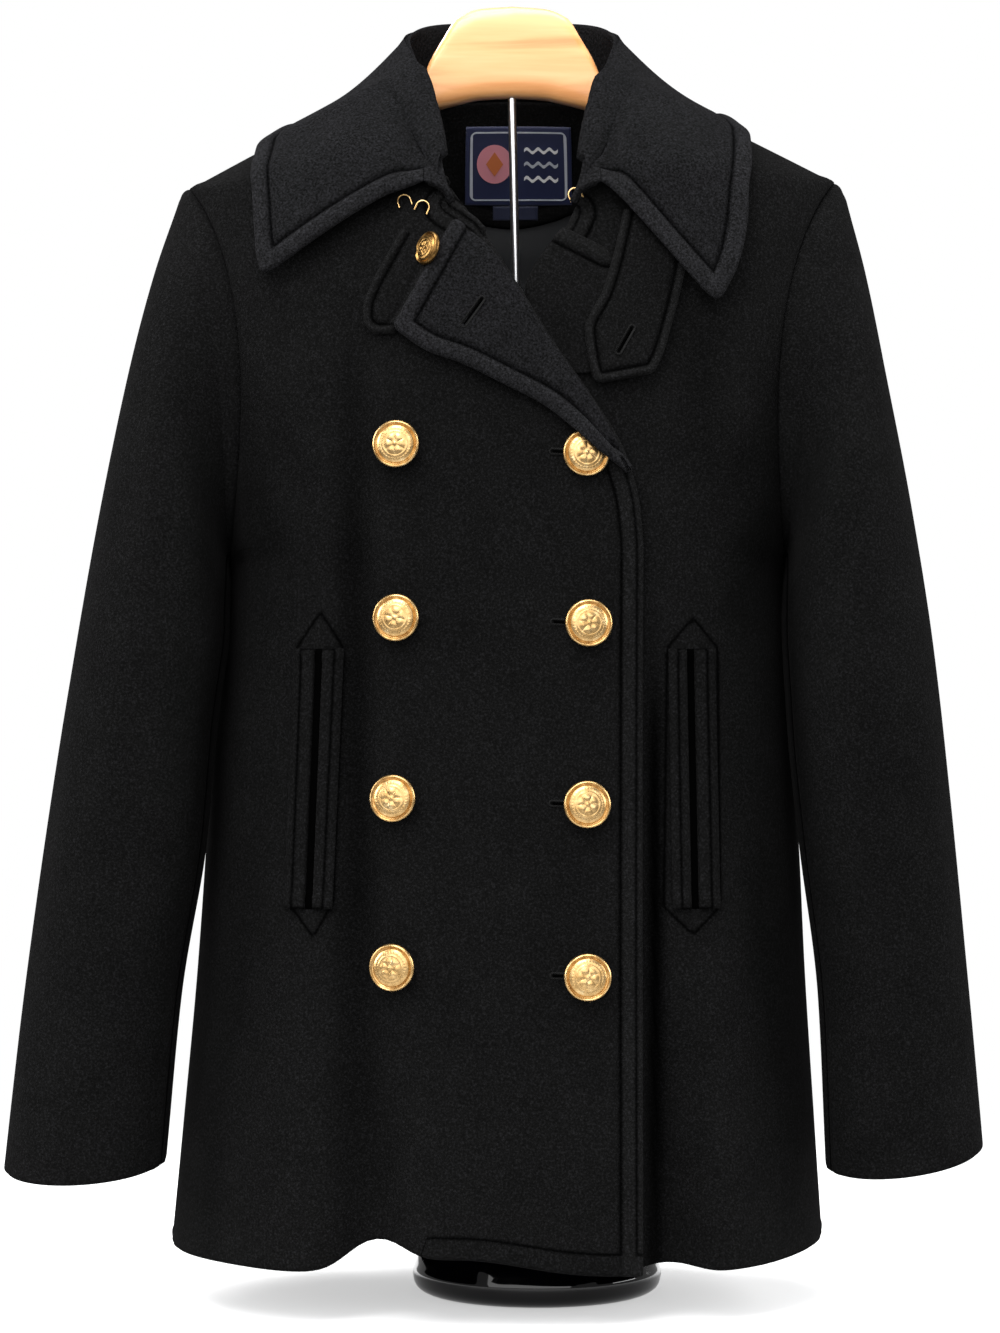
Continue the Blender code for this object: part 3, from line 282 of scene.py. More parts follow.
hanging = {            # folds that open towards the hem: x, half width, depth, height where they fade, lift
    "rightFront": ((-0.081, 0.021, 0.022, 0.26, 0.0145), (-0.030, 0.050, 0.000, 0.26, 0.0095),
                   (-0.140, 0.030, -0.006, 0.30, 0.0), (0.010, 0.060, -0.004, 0.25, 0.0)),
    "back": ((-0.105, 0.028, 0.012, 0.34, 0.002), (-0.045, 0.032, -0.005, 0.36, 0.0),
             (0.018, 0.030, 0.010, 0.32, 0.002), (0.070, 0.030, -0.005, 0.36, 0.0),
             (0.118, 0.026, 0.010, 0.30, 0.002)),
}
hanging["leftFront"] = hanging["rightFront"] + (
    (0.092, 0.020, 0.020, 0.30, 0.004), (0.138, 0.030, -0.006, 0.30, 0.0),
)
creases = {            # from x, z to x, z, bend, half width, depth
    "rightFront": (
        (-0.150, 0.560, -0.098, 0.470, 0.008, 0.011, 0.0022),
        (-0.160, 0.520, -0.125, 0.430, 0.006, 0.010, 0.0018),
        (-0.092, 0.665, -0.087, 0.030, 0.003, 0.0125, 0.0092),
        (-0.030, 0.520, -0.018, 0.330, 0.004, 0.020, 0.0012),
        (-0.154, 0.330, -0.160, 0.120, 0.004, 0.014, 0.0024),
        (-0.062, 0.170, -0.078, 0.050, -0.003, 0.008, 0.0016),
        (0.030, 0.300, 0.040, 0.110, 0.004, 0.018, 0.0010),
    ),
    "back": (
        (-0.146, 0.560, -0.060, 0.500, 0.010, 0.015, 0.0036),
        (0.148, 0.575, 0.070, 0.510, -0.010, 0.014, 0.0034),
        (-0.060, 0.665, 0.055, 0.658, 0.007, 0.014, 0.0020),
        (-0.030, 0.440, -0.048, 0.130, 0.008, 0.020, 0.0040),
        (0.050, 0.480, 0.068, 0.220, -0.008, 0.018, 0.0040),
        (0.112, 0.430, 0.124, 0.120, 0.004, 0.016, 0.0032),
        (-0.120, 0.420, -0.130, 0.100, -0.005, 0.017, 0.0034),
        (0.010, 0.360, 0.012, 0.060, 0.004, 0.022, -0.0026),
    ),
}
creases["leftFront"] = creases["rightFront"] + (
    (0.150, 0.545, 0.102, 0.450, -0.008, 0.011, 0.0022), (0.160, 0.500, 0.128, 0.405, -0.006, 0.010, 0.0016),
    (0.114, 0.650, 0.122, 0.460, 0.006, 0.013, 0.0040), (0.146, 0.310, 0.152, 0.110, -0.004, 0.014, 0.0022),
    (0.0840, 0.440, 0.0860, 0.010, 0.000, 0.006, 0.0052),
    (0.100, 0.200, 0.094, 0.060, 0.003, 0.008, 0.0014),
)

swing, halfWidth, frontReach, backReach, roundness = linesOf(coat["sections"])
hemLine = curveThrough(*zip(*coat["hem"]))


def sideOf(x):
    return np.where(np.asarray(x) > 0, 1.0, -1.0)


def either(pair, sign):             # the first of a pair where the sign is below 0, or the second
    return np.where(np.asarray(sign) < 0, pair[0], pair[1])


def shoulderSlope(side):
    return (coat["neckZ"] - either(coat["tipZ"], side)) / (coat["tipX"] - coat["neckX"])


def shoulderZ(x):
    side = sideOf(x)
    return either(coat["tipZ"], side) + (coat["tipX"] - np.abs(x)) * shoulderSlope(side)


def armhole(angle, side, face):     # angle 0 at the shoulder tip, pi under the arm
    top, low = either(coat["tipZ"], side), coat["underarmZ"]
    height = (top + low) / 2 + (top - low) / 2 * np.cos(angle)
    reach = np.abs(np.sin(angle))
    lineX = mix(halfWidth(low) + side * swing(low), coat["tipX"], (height - low) / (top - low))
    scoop = either(coat["armholeScoop"], face) * reach ** 1.6 * (1 + 0.35 * np.cos(angle))
    return side * (lineX - scoop), coat["ridgeY"] + face * either(coat["armholeDepth"], face) * reach, height


def bodySide(z, side, face):        # where a section ends: side seam, armhole or shoulder
    low, top = coat["underarmZ"], either(coat["tipZ"], side)
    middle = (top + low) / 2
    angle = np.arccos(np.clip((z - middle) / (top - middle), -1, 1))
    holeX, holeY, _ = armhole(angle, side, face)
    x = np.where(z < top, np.abs(holeX), coat["tipX"] - (z - top) / shoulderSlope(side))
    x = np.where(z <= low, halfWidth(z) + side * swing(z), x)
    return x, np.where((z > low) & (z < top), holeY, coat["ridgeY"])


def bodyLine(z, side,
             face):        # the line the cloth follows away from its edge, with no corner under the arm
    low, top = coat["underarmZ"], either(coat["tipZ"], side)
    share = np.clip((2 * z - top - low) / (top - low), -1, 1)
    reach = np.sqrt(1 - share ** 2)
    (below, above), (tipBelow, tipAbove) = coat["underarmEase"], coat["tipEase"]
    reach = mix(ease((z - low + below) / (below + above)), reach, ease((z - low) / above))
    reach = mix(reach, ease((top + tipAbove - z) / (tipBelow + tipAbove)), ease((z - top) / tipBelow + 1))
    x = np.where(z < top, mix(halfWidth(low) + side * swing(low), coat["tipX"], (z - low) / (top - low)),
                 coat["tipX"] - (z - top) / shoulderSlope(side))
    x = np.where(z <= low, halfWidth(z) + side * swing(z), x)
    scoop = either(coat["armholeScoop"], face) * reach ** 1.6 * (1 + 0.35 * share)
    return x - scoop, coat["ridgeY"] + face * either(coat["armholeDepth"], face) * reach


def bodyY(x, z, panel):
    face = 1 if panel == "back" else -1
    edgeX, edgeY = bodySide(z, sideOf(x), face)
    lineX, lineY = bodyLine(z, sideOf(x), face)
    across = np.minimum(np.abs(x) / edgeX, 1.0)
    near = ease((across - coat["nearEdge"]) / (1 - coat["nearEdge"]))
    close = mix(np.minimum(np.abs(x) / lineX, 1.0), across, near)
    dip = creaseDepth(x, z, creases[panel])
    for foldX, wide, deep, fadeZ, _ in hanging[panel]:
        opened = ease((fadeZ - z) / (fadeZ - coat["bottomZ"])) ** 1.3
        dip = dip + deep * opened * bump(x - foldX, wide)
    swell = (1 - close ** coat["fullness"]) ** (1 / roundness(z))
    reach = backReach(z) if face == 1 else frontReach(z)
    y = mix(mix(lineY, edgeY, near), face * reach, swell) - face * dip * (1 - across ** 8)
    if panel == "leftFront":        # passes under the right front
        (lapX, lapZ), wide = coat["lapUnder"], coat["lapEase"]
        y = y + (coat["cloth"] + coat["lapGap"]) * ease((lapX - x) / wide) * ease((lapZ - z) / wide)
    return y


def placed(point):                  # from the coat's own axes to the part's
    return np.asarray(point) + np.array([coat["centreX"], 0.0, 0.0])


def onBody(x, z, panel, lift):      # a point off the panel's face, and the way out there
    x, z = np.broadcast_arrays(np.asarray(x, float), np.asarray(z, float))
    reach, face = 0.002, 1 if panel == "back" else -1
    slopeX = (bodyY(x + reach, z, panel) - bodyY(x - reach, z, panel)) / (2 * reach)
    slopeZ = (bodyY(x, z + reach, panel) - bodyY(x, z - reach, panel)) / (2 * reach)
    out = unit(np.stack([-face * slopeX, np.full(x.shape, float(face)), -face * slopeZ], axis=-1))
    return np.stack([x, bodyY(x, z, panel), z], axis=-1) + out * np.asarray(lift)[..., None], out


# making cloth: a grid laid on a surface, given its turned edges, then its thickness

def gapTo(points, line):            # distance from each point to a line of points
    a, b = line[:-1], line[1:]
    run = b - a
    found = []
    for some in np.array_split(points, 12):
        t = np.clip(((some[:, None] - a) * run).sum(-1) / np.maximum((run * run).sum(-1), 1e-12), 0, 1)
        found.append(np.linalg.norm(some[:, None] - (a + t[..., None] * run), axis=-1).min(axis=1))
    return np.concatenate(found)


def smoothGrid(grid, rounds):       # softens the sheet both ways; each border moves only along itself
    for _ in range(2 * rounds):
        grid = np.concatenate([grid[:1], (grid[:-2] + 2 * grid[1:-1] + grid[2:]) / 4, grid[-1:]])
        grid = grid.swapaxes(0, 1)
    return grid


def meshObject(name, bm, sharp=None):
    mesh = bpy.data.meshes.new(name)
    bm.to_mesh(mesh)
    bm.free()
    mesh.shade_smooth()
    if sharp:
        mesh.set_sharp_from_angle(angle=math.radians(sharp))
    piece = bpy.data.objects.new(name, mesh)
    bpy.context.scene.collection.objects.link(piece)
    return piece


def finish(piece, material, slotName, *nodes):
    piece.data.materials.append(material)
    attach(piece, "root")
    if nodes:
        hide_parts(*nodes)


def gridForm(columns, rows):        # a flat grid, and each point's place in it from 0 to 1
    bm = bmesh.new()
    bmesh.ops.create_grid(bm, x_segments=columns, y_segments=rows, size=0.5)
    flat = np.array([vertex.co for vertex in bm.verts]) + 0.5
    return bm, flat[:, 0], flat[:, 1]


def spunForm(profile, steps):       # a line of radius and height, turned round the upright axis
    bm = bmesh.new()
    chain = [bm.verts.new((x, 0.0, z)) for x, z in profile]
    edges = [bm.edges.new(pair) for pair in zip(chain, chain[1:])]
    bmesh.ops.spin(bm, geom=chain + edges, cent=(0, 0, 0), axis=(0, 0, 1), dvec=(0, 0, 0), angle=2 * math.pi,
                   steps=steps, use_merge=True)
    bmesh.ops.remove_doubles(bm, verts=bm.verts, dist=0.00001)
    return bm


turning = {            # the edge's roll, the swell inside it, the dip along its stitches, and seams
    "roll": 0.0022, "puff": 0.0012, "valley": 0.0014, "valleyWidth": 0.0018,
    "seamWidth": 0.009, "seamRoll": 0.0008, "paintedLightFade": 0.002,
}


def makeCloth(name, place, columns, rows, thick, facing, cut, node=None, material=meltonBlack,
              slotName="melton", turned=(), bordered=None, margin=0.012, sewn=(), stitches=None, settle=None,
              kept=None, shade=None, uStops=None, vStops=None, held="hung", restsOn=("shoulderPiece",)):
    bm, u, v = gridForm(columns, rows)
    if uStops:
        u = np.interp(u, *zip(*uStops))
    if vStops:
        v = np.interp(v, *zip(*vStops))
    grid = place(u, v).reshape(rows + 1, columns + 1, 3)
    if settle:
        grid = settle(grid)
    points = grid.reshape(-1, 3)
    for vertex, point in zip(bm.verts, points):
        vertex.co = point
    bm.normal_update()
    if sum(face.normal.dot(Vector(facing)) * face.calc_area() for face in bm.faces) < 0:
        bmesh.ops.reverse_faces(bm, faces=bm.faces)
        bm.normal_update()
    out = np.array([vertex.normal for vertex in bm.verts])
    borders = {"start": grid[:, 0], "end": grid[:, -1], "low": grid[0], "high": grid[-1]}
    gaps = {edge: gapTo(points, borders[edge]) for edge in {*turned, *sewn}}
    line, form, paintedLightShade = np.full(len(points), 1.0), np.zeros(len(points)), np.zeros(len(points))
    for edge in turned:             # the edge rolls under, and the cloth inside it stands a little proud
        near = np.minimum(gaps[edge], turning["roll"])
        form -= turning["roll"] - np.sqrt(np.maximum(turning["roll"] ** 2 - (turning["roll"] - near) ** 2, 0))
    bordered = turned if bordered is None else bordered
    if bordered:
        nearest = np.minimum.reduce([gaps[edge] for edge in bordered])
        form += turning["puff"] * np.sin(np.pi * np.clip(nearest / margin, 0, 1))
        form -= turning["valley"] * bump(nearest - margin, turning["valleyWidth"])
        # painted light: the band inside each turned border is painted lighter
        paintedLightShade = ease((margin - nearest) / turning["paintedLightFade"])
    for edge in sewn:
        form += turning["seamRoll"] * np.sin(np.pi * np.clip(gaps[edge] / turning["seamWidth"], 0, 1))
        line = np.minimum(line, gaps[edge])
    if stitches:
        line = np.minimum(line, stitches(points, gaps))
    if kept:                        # the share of all this that is left at each height of the piece
        share = kept(v)
        form, paintedLightShade, line = form * share, paintedLightShade * share, line + 0.02 * (1 - share)
    if shade:                       # painted shade: the cloth's colour is darkened in the folds and other places where shade falls
        paintedLightShade -= shade(points, gaps)
    mark, paintLayer = bm.verts.layers.float.new("stitching"), bm.verts.layers.float.new("pressed")
    for vertex, point, gap, share in zip(bm.verts, placed(points + out * form[:, None]), line, paintedLightShade):
        vertex.co, vertex[mark], vertex[paintLayer] = point, gap, share
    area = sum(face.calc_area() for face in bm.faces)
    piece = meshObject(name, bm)
    wall = piece.modifiers.new("thickness", "SOLIDIFY")
    wall.thickness, wall.offset = thick, -1.0
    finish(piece, material, slotName, *([node] if node else []))
    print(f"  {name}: {len(points)} points, {area * 1e4:.0f} cm2 of {cut[0] * cut[1] * 1e4:.0f} in the cut")


def edgeRow(inset, *edges):         # one row of stitches inside the nearest of these edges
    return lambda points, gaps: np.minimum.reduce([gaps[edge] for edge in edges]) - inset


def between(gap, near, far):        # nothing on two lines of stitches, less than nothing between them
    return np.abs(gap - (near + far) / 2) - (far - near) / 2


def outlineGap(points, outline):    # distance to a closed outline in x and z, below 0 inside it
    flat = points[:, [0, 2]]
    ring = np.array(outline + outline[:1])
    gap = gapTo(flat, ring)
    inside = np.zeros(len(flat), bool)
    for (x0, z0), (x1, z1) in zip(ring, ring[1:]):
        crosses = (z0 > flat[:, 1]) != (z1 > flat[:, 1])
        slope = (x1 - x0) / (z1 - z0) if z1 != z0 else 0.0
        inside ^= crosses & (flat[:, 0] < x0 + (flat[:, 1] - z0) * slope)
    return np.where(inside, -gap, gap)


# body panels

fronts = {
    "edge": ((0.029, 0.0775), (0.200, 0.0775), (0.400, 0.0782), (0.4513, 0.0785), (0.4811, 0.0761),
             (0.5120, 0.0672), (0.5453, 0.0470), (0.5798, 0.0232), (0.6131, 0.0024), (0.6466, -0.0210),
             (0.6595, -0.0385)),
    "leftTop": ((0.6131, -0.0045), (0.6430, -0.0216), (0.6553, -0.0295), (0.6690, -0.0360)),
    "neckline": ((0.0360, 0.6600), (0.0500, 0.6830), (0.0660, 0.7140), (0.0780, 0.7350), (0.085, 0.7455)),
    "stitchNear": 0.005, "stitchFar": 0.014, "margin": 0.0145, "hemStitch": 0.013, "hemStitchFrom": -0.050,
    "cut": (0.36, 0.66), "neckShare": 12 / 17, "columns": 96, "rows": 176,
    # closer columns by the edge, and closer rows at the hem and round the armhole
    "uStops": ((0, 0), (20 / 96, 0.062), (70 / 96, 12 / 17), (1, 1)),
    "vStops": ((0, 0), (16 / 176, 0.026), (100 / 176, 0.6), (1, 1)),
}
backPiece = {
    "neckline": ((0.0, 0.7520), (0.045, 0.7515), (0.070, 0.7490), (0.085, 0.7455)),
    "cut": (0.60, 0.74), "neckShare": 7 / 12, "columns": 120, "rows": 150,
    "vStops": ((0, 0), (16 / 150, 0.03), (88 / 150, 0.6), (1, 1)),
}
pockets = {            # the stitched frame round each slit, with its pointed ends
    "right": [(-0.1287, 0.3995), (-0.1145, 0.4205), (-0.1008, 0.3995), (-0.1068, 0.2475), (-0.1182, 0.2275),
              (-0.1337, 0.2475)],
    "left": [(0.0922, 0.3990), (0.1078, 0.4170), (0.1228, 0.3990), (0.1237, 0.2455), (0.1074, 0.2285),
             (0.0898, 0.2455)],
}


def angleOf(x, width):
    return np.arcsin(np.clip(x / width, -1, 1))


def panelPlace(panel, side, share, row, edge, neckline, neckShare):
    face, waist = 1 if panel == "back" else -1, 0.6         # the armhole starts at this share of the rows
    bottom, low, top = coat["bottomZ"], coat["underarmZ"], either(coat["tipZ"], side)
    height = np.where(row < waist, mix(bottom, low, row / waist),
                      (top + low) / 2 - (top - low) / 2 * np.cos(np.pi * (row - waist) / (1 - waist)))
    rise = (height - bottom) / (top - bottom)
    fade = np.clip(1 - (height - bottom) / (low - bottom), 0, 1)
    sideZ = height + (hemLine(side * (halfWidth(height) + side * swing(height))) - bottom) * fade
    width, sideY = bodySide(sideZ, side, face)
    start = angleOf(side * edge(rise), width)
    topStart = float(np.max(angleOf(side * edge(1.0), coat["tipX"])))
    neck = float(angleOf(coat["neckX"], coat["tipX"]))
    upper = np.interp(share, [0, neckShare, 1], [topStart, neck, math.pi / 2])
    topX = side * coat["tipX"] * np.sin(upper)
    high = np.where(share >= neckShare, shoulderZ(topX), neckline(np.abs(topX)))
    upperShare = (upper - topStart) / (math.pi / 2 - topStart)
    x = side * width * np.sin(mix(start, math.pi / 2, mix(share, upperShare, rise ** 2)))
    hem = hemLine(x) + sum(lift * bump(x - foldX, wide) for foldX, wide, _, _, lift in hanging[panel])
    z = mix(bottom, high, rise) + (hem - bottom) * fade
    y = np.where(share > 1 - 1e-6, sideY, bodyY(x, z, panel))
    return np.stack([x, y, z], axis=-1)


def frontStitches(side):
    outline = pockets["right" if side < 0 else "left"]

    def line(points, gaps):
        twoRows = between(gaps["start"], fronts["stitchNear"], fronts["stitchFar"])
        found = np.minimum(twoRows, outlineGap(points, outline))
        if side < 0:
            beyond = np.clip(fronts["hemStitchFrom"] - points[:, 0], 0, 1)
            found = np.minimum(found, gaps["low"] - fronts["hemStitch"] + 3 * beyond)
        return found

    return line


# painted shade: the cloth's colour is darkened in the creases, and beside the lap's edge
def foldShade(points, panel):
    x, z = points[:, 0], points[:, 2]
    folds = coat["foldShade"] * np.clip(creaseDepth(x, z, creases[panel]) / coat["foldDepth"], 0, 1)
    if panel == "leftFront":        # the lap's own shadow lies beside its edge
        low = ease((coat["lapShadeTop"] - z) / coat["lapShadeFade"])
        folds = folds + coat["lapShade"] * bump(x - coat["lapShadeX"], coat["lapShadeWidth"]) * low
    return folds


def makeFronts():
    neckline = curveThrough(*zip(*fronts["neckline"]))
    for panel, node, side, rows in (
        ("rightFront", "right_front", -1, fronts["edge"]),
        ("leftFront", "left_front", 1, fronts["edge"][:8] + fronts["leftTop"]),
    ):
        low, high = rows[0][0], rows[-1][0]
        edge = curveThrough([(z - low) / (high - low) for z, _ in rows], [-side * x for _, x in rows])
        makeCloth(panel, lambda u, v: panelPlace(panel, side, u, v, edge, neckline, fronts["neckShare"]),
                  fronts["columns"], fronts["rows"], coat["cloth"], (0, -1, 0), fronts["cut"], node,
                  turned=("start", "low"), bordered=("start",), margin=fronts["margin"], sewn=("end",),
                  stitches=frontStitches(side), shade=lambda points, gaps: foldShade(points, panel),
                  uStops=fronts["uStops"], vStops=fronts["vStops"])


def makeBack():
    neckline = curveThrough(*zip(*backPiece["neckline"]))

    def place(u, v):
        across = 2 * u - 1
        return panelPlace("back", sideOf(across), np.abs(across), v, lambda rise: 0.0 * np.asarray(rise),
                          neckline, backPiece["neckShare"])

    makeCloth("coatBack", place, backPiece["columns"], backPiece["rows"], coat["cloth"], (0, 1, 0),
              backPiece["cut"], "back", turned=("low",), sewn=("start", "end"),
              shade=lambda points, gaps: foldShade(points, "back"), vStops=backPiece["vStops"])


# sleeves

sleeves = {
    "both": (              # along, half depth, middle y, scoop kept, front drop
        (0.00, 0.0675, 0.000, 0.62, 0.000), (0.12, 0.0685, -0.013, 0.12, 0.000),
        (0.25, 0.0690, -0.027, 0.00, 0.000), (0.40, 0.0670, -0.036, 0.00, 0.000),
        (0.55, 0.0610, -0.048, 0.00, 0.001), (0.70, 0.0540, -0.050, 0.00, 0.002),
        (0.85, 0.0470, -0.051, 0.00, 0.004), (1.00, 0.0410, -0.052, 0.00, 0.008),
    ),
    "left": (              # outer x and z, inner x and z in the same rows
        (0.2067, 0.6750, 0.1755, 0.4530), (0.2201, 0.6304, 0.1742, 0.4466),
        (0.2333, 0.5739, 0.1728, 0.4364), (0.2507, 0.4867, 0.1728, 0.4077),
        (0.2658, 0.3949, 0.1793, 0.3526), (0.2799, 0.3072, 0.1857, 0.2796),
        (0.2952, 0.1975, 0.2004, 0.1906), (0.3084, 0.0835, 0.2100, 0.0885),
    ),
    "right": (
        (0.2075, 0.6760, 0.1700, 0.4530), (0.2176, 0.6304, 0.1680, 0.4466),
        (0.2274, 0.5739, 0.1662, 0.4364), (0.2433, 0.4867, 0.1648, 0.4077),
        (0.2559, 0.3988, 0.1673, 0.3506), (0.2661, 0.3072, 0.1746, 0.2776),
        (0.2764, 0.2004, 0.1857, 0.1876), (0.2857, 0.0974, 0.1903, 0.0845),
    ),
    "seamAngles": (0.9 * math.pi, 1.3 * math.pi),      # where top and under sleeve meet, in front and behind
    "head": 0.05, "headTuck": 0.0012, "headPuff": 0.0022, "shadeWidth": 0.026,
    "cuts": {"TopSleeve": (0.27, 0.62), "UnderSleeve": (0.12, 0.50)},
    "columns": {"TopSleeve": 72, "UnderSleeve": 30},
    "rows": 150, "vStops": ((0, 0), (16 / 150, 0.05), (138 / 150, 0.975), (1, 1)),
    "shade": 1.7, "shadeFrom": 0.16, "shadeOver": 0.22,
    # angle in turns and share of the length, from and to; bend, half width and depth
    "creases": (
        (0.30, 0.14, 0.44, 0.26, 0.01, 0.036, 0.0016), (0.27, 0.26, 0.46, 0.39, 0.01, 0.036, 0.0014),
        (0.20, 0.30, 0.40, 0.47, -0.01, 0.030, 0.0016), (0.12, 0.10, 0.16, 0.55, 0.01, 0.035, 0.0014),
        (0.24, 0.52, 0.22, 0.86, 0.01, 0.040, 0.0015), (0.70, 0.30, 0.86, 0.42, 0.01, 0.030, 0.0026),
        (0.68, 0.40, 0.84, 0.50, -0.01, 0.028, 0.0022), (0.90, 0.10, 0.84, 0.36, 0.01, 0.035, 0.0016),
        (0.55, 0.20, 0.60, 0.44, 0.01, 0.030, 0.0018), (0.05, 0.60, 0.08, 0.90, 0.01, 0.040, 0.0012),
    ),
}


def sleeveShade(points, gap, part):    # painted shade: the cloth that faces the body is painted darker, where the shade between sleeve and body falls
    inner = ease(1 - gap / sleeves["shadeWidth"]) if part == "TopSleeve" else 1.0
    return sleeves["shade"] * inner * ease((points[:, 2] - sleeves["shadeFrom"]) / sleeves["shadeOver"])


def makeSleeves():
    for sideName, side in (("left", -1), ("right", 1)):
        rows = [(along, *ends, *rest) for (along, *rest), ends in zip(sleeves["both"], sleeves[sideName])]
        outerX, outerZ, innerX, innerZ, halfDepth, middleY, scoopKept, drop = linesOf(rows)

        def ring(angle, t):
            face = np.where(np.sin(angle) > 0, -1.0, 1.0)
            zero = np.zeros(np.shape(t))
            outer = np.stack([side * outerX(t), middleY(t), outerZ(t)], axis=-1)
            inner = np.stack([side * innerX(t), middleY(t), innerZ(t)], axis=-1)
            half = (outer - inner) / 2
            reach = np.abs(np.sin(angle))
            scoop = either(coat["armholeScoop"], face) * reach ** 1.6 * (1 + 0.35 * np.cos(angle))
            point = (outer + inner) / 2 + half * np.cos(angle)[..., None]
            turns = (angle / (2 * math.pi)) % 1.0
            out = unit(unit(half) * (np.cos(angle) / np.linalg.norm(half, axis=-1))[..., None]
                       + np.stack([zero, -np.sin(angle) / halfDepth(t), zero], axis=-1))
            point = point - np.stack([side * scoop * scoopKept(t), halfDepth(t) * np.sin(angle),
                                      drop(t) * np.sin(angle)], axis=-1)
            return point - out * creaseDepth(turns, t, sleeves["creases"])[..., None], out

        def place(u, v, first, last):
            angle = mix(first, last, u) % (2 * math.pi)
            face = np.where(np.sin(angle) > 0, -1.0, 1.0)
            head = np.clip(v / sleeves["head"], 0, 1)
            body, out = ring(angle, np.clip((v - sleeves["head"]) / (1 - sleeves["head"]), 0, 1))
            fromTop = np.where(angle > math.pi, 2 * math.pi - angle, angle)
            hole = np.stack(armhole(fromTop, side, face), axis=-1)
            hole[..., 0] -= side * sleeves["headTuck"]          # no light comes through its seam
            puff = sleeves["headPuff"] * np.sin(np.pi * head) * (0.4 + 0.6 * np.cos(angle).clip(0, 1))
            return mix(hole, body, (ease(head) + head)[..., None] / 2) + out * puff[..., None]

        front, behind = sleeves["seamAngles"]
        for part, word, edge, first, last, way in (
            ("TopSleeve", "top", "end", behind - 2 * math.pi, front, side),
            ("UnderSleeve", "under", "start", front, behind, -side),
        ):
            makeCloth(sideName + part, lambda u, v: place(u, v, first, last), sleeves["columns"][part],
                      sleeves["rows"], coat["cloth"], (way, 0, 0), sleeves["cuts"][part],
                      f"{sideName}_{word}_sleeve", turned=("high",), bordered=(),
                      sewn=("start", "end", "low"), vStops=sleeves["vStops"],
                      shade=lambda points, gaps: sleeveShade(points, gaps[edge], part))


# collar

collar = {
    # neck seam, top of the fold, the leaf's edge on the left and on the right, how flat it settles
    "stations": (
        ((0.0000, 0.0645, 0.7520), (0.0000, 0.0590, 0.7975), (0.0000, 0.0960, 0.7130),
         (0.0000, 0.0960, 0.7130), 1.0),
        ((0.0450, 0.0553, 0.7515), (0.0350, 0.0500, 0.7965), (0.0780, 0.0910, 0.7080),
         (0.0780, 0.0910, 0.7080), 0.9),
        ((0.0700, 0.0346, 0.7490), (0.0555, 0.0320, 0.7910), (0.1220, 0.0600, 0.7100),
         (0.1240, 0.0600, 0.7130), 0.6),
        ((0.0850, 0.0040, 0.7455), (0.0630, 0.0060, 0.7790), (0.1420, 0.0080, 0.7230),
         (0.1360, 0.0080, 0.7300), 0.4),
        ((0.0780, -0.0310, 0.7350), (0.0570, -0.0230, 0.7590), (0.1520, -0.0400, 0.7000),
         (0.1430, -0.0440, 0.7020), 0.6),
        ((0.0660, -0.0560, 0.7140), (0.0500, -0.0470, 0.7340), (0.1560, -0.0730, 0.6680),
         (0.1420, -0.0850, 0.6680), 0.9),
        ((0.0500, -0.0790, 0.6830), (0.0460, -0.0700, 0.7060), (0.1550, -0.0850, 0.6390),
         (0.1360, -0.0980, 0.6320), 1.0),
        ((0.0385, -0.0880, 0.6640), (0.0540, -0.0920, 0.6790), (0.1500, -0.0930, 0.6215),
         (0.1220, -0.1050, 0.6030), 1.0),
    ),
    "foldRound": 0.020, "leafRound": 0.022, "neckRise": 0.0030, "standOff": (0.0016, 0.0085),
    "standShare": 0.3, "margin": 0.012, "settleRounds": 6, "settleStep": 5, "settleLift": 1.15,
    "size": (0.60, 0.14), "tipRadius": 0.009, "cut": (0.62, 0.16), "columns": 300, "rows": 80,
    "borderFrom": 0.25, "borderFade": 0.10,
    "uStops": ((0, 0), (16 / 300, 0.022), (284 / 300, 0.978), (1, 1)),
    "vStops": ((0, 0), (24 / 80, 0.3), (62 / 80, 0.87), (1, 1)),
}


def hermite(start, leave, end, arrive, t):
    way = start * (1 + 2 * t) * (1 - t) ** 2 + end * t * t * (3 - 2 * t)
    return way + leave * t * (1 - t) ** 2 - arrive * t * t * (1 - t)


def clearOfBody(points, side, need):    # lifts points off the shoulders until they lie as high as needed
    x, z = points[:, 0], points[:, 2]
    for panel, face in ((("rightFront" if side < 0 else "leftFront"), -1), ("back", 1)):
        over, out = onBody(x, np.minimum(z, shoulderZ(x) - 0.003), panel, need)
        short = ((over - points) * out).sum(-1)
        wanted = (z <= shoulderZ(x) + 0.004) & ((points[:, 1] - coat["ridgeY"]) * face >= 0.012)
        points = points + out * np.where(wanted, np.maximum(short, 0), 0)[:, None]
    return points


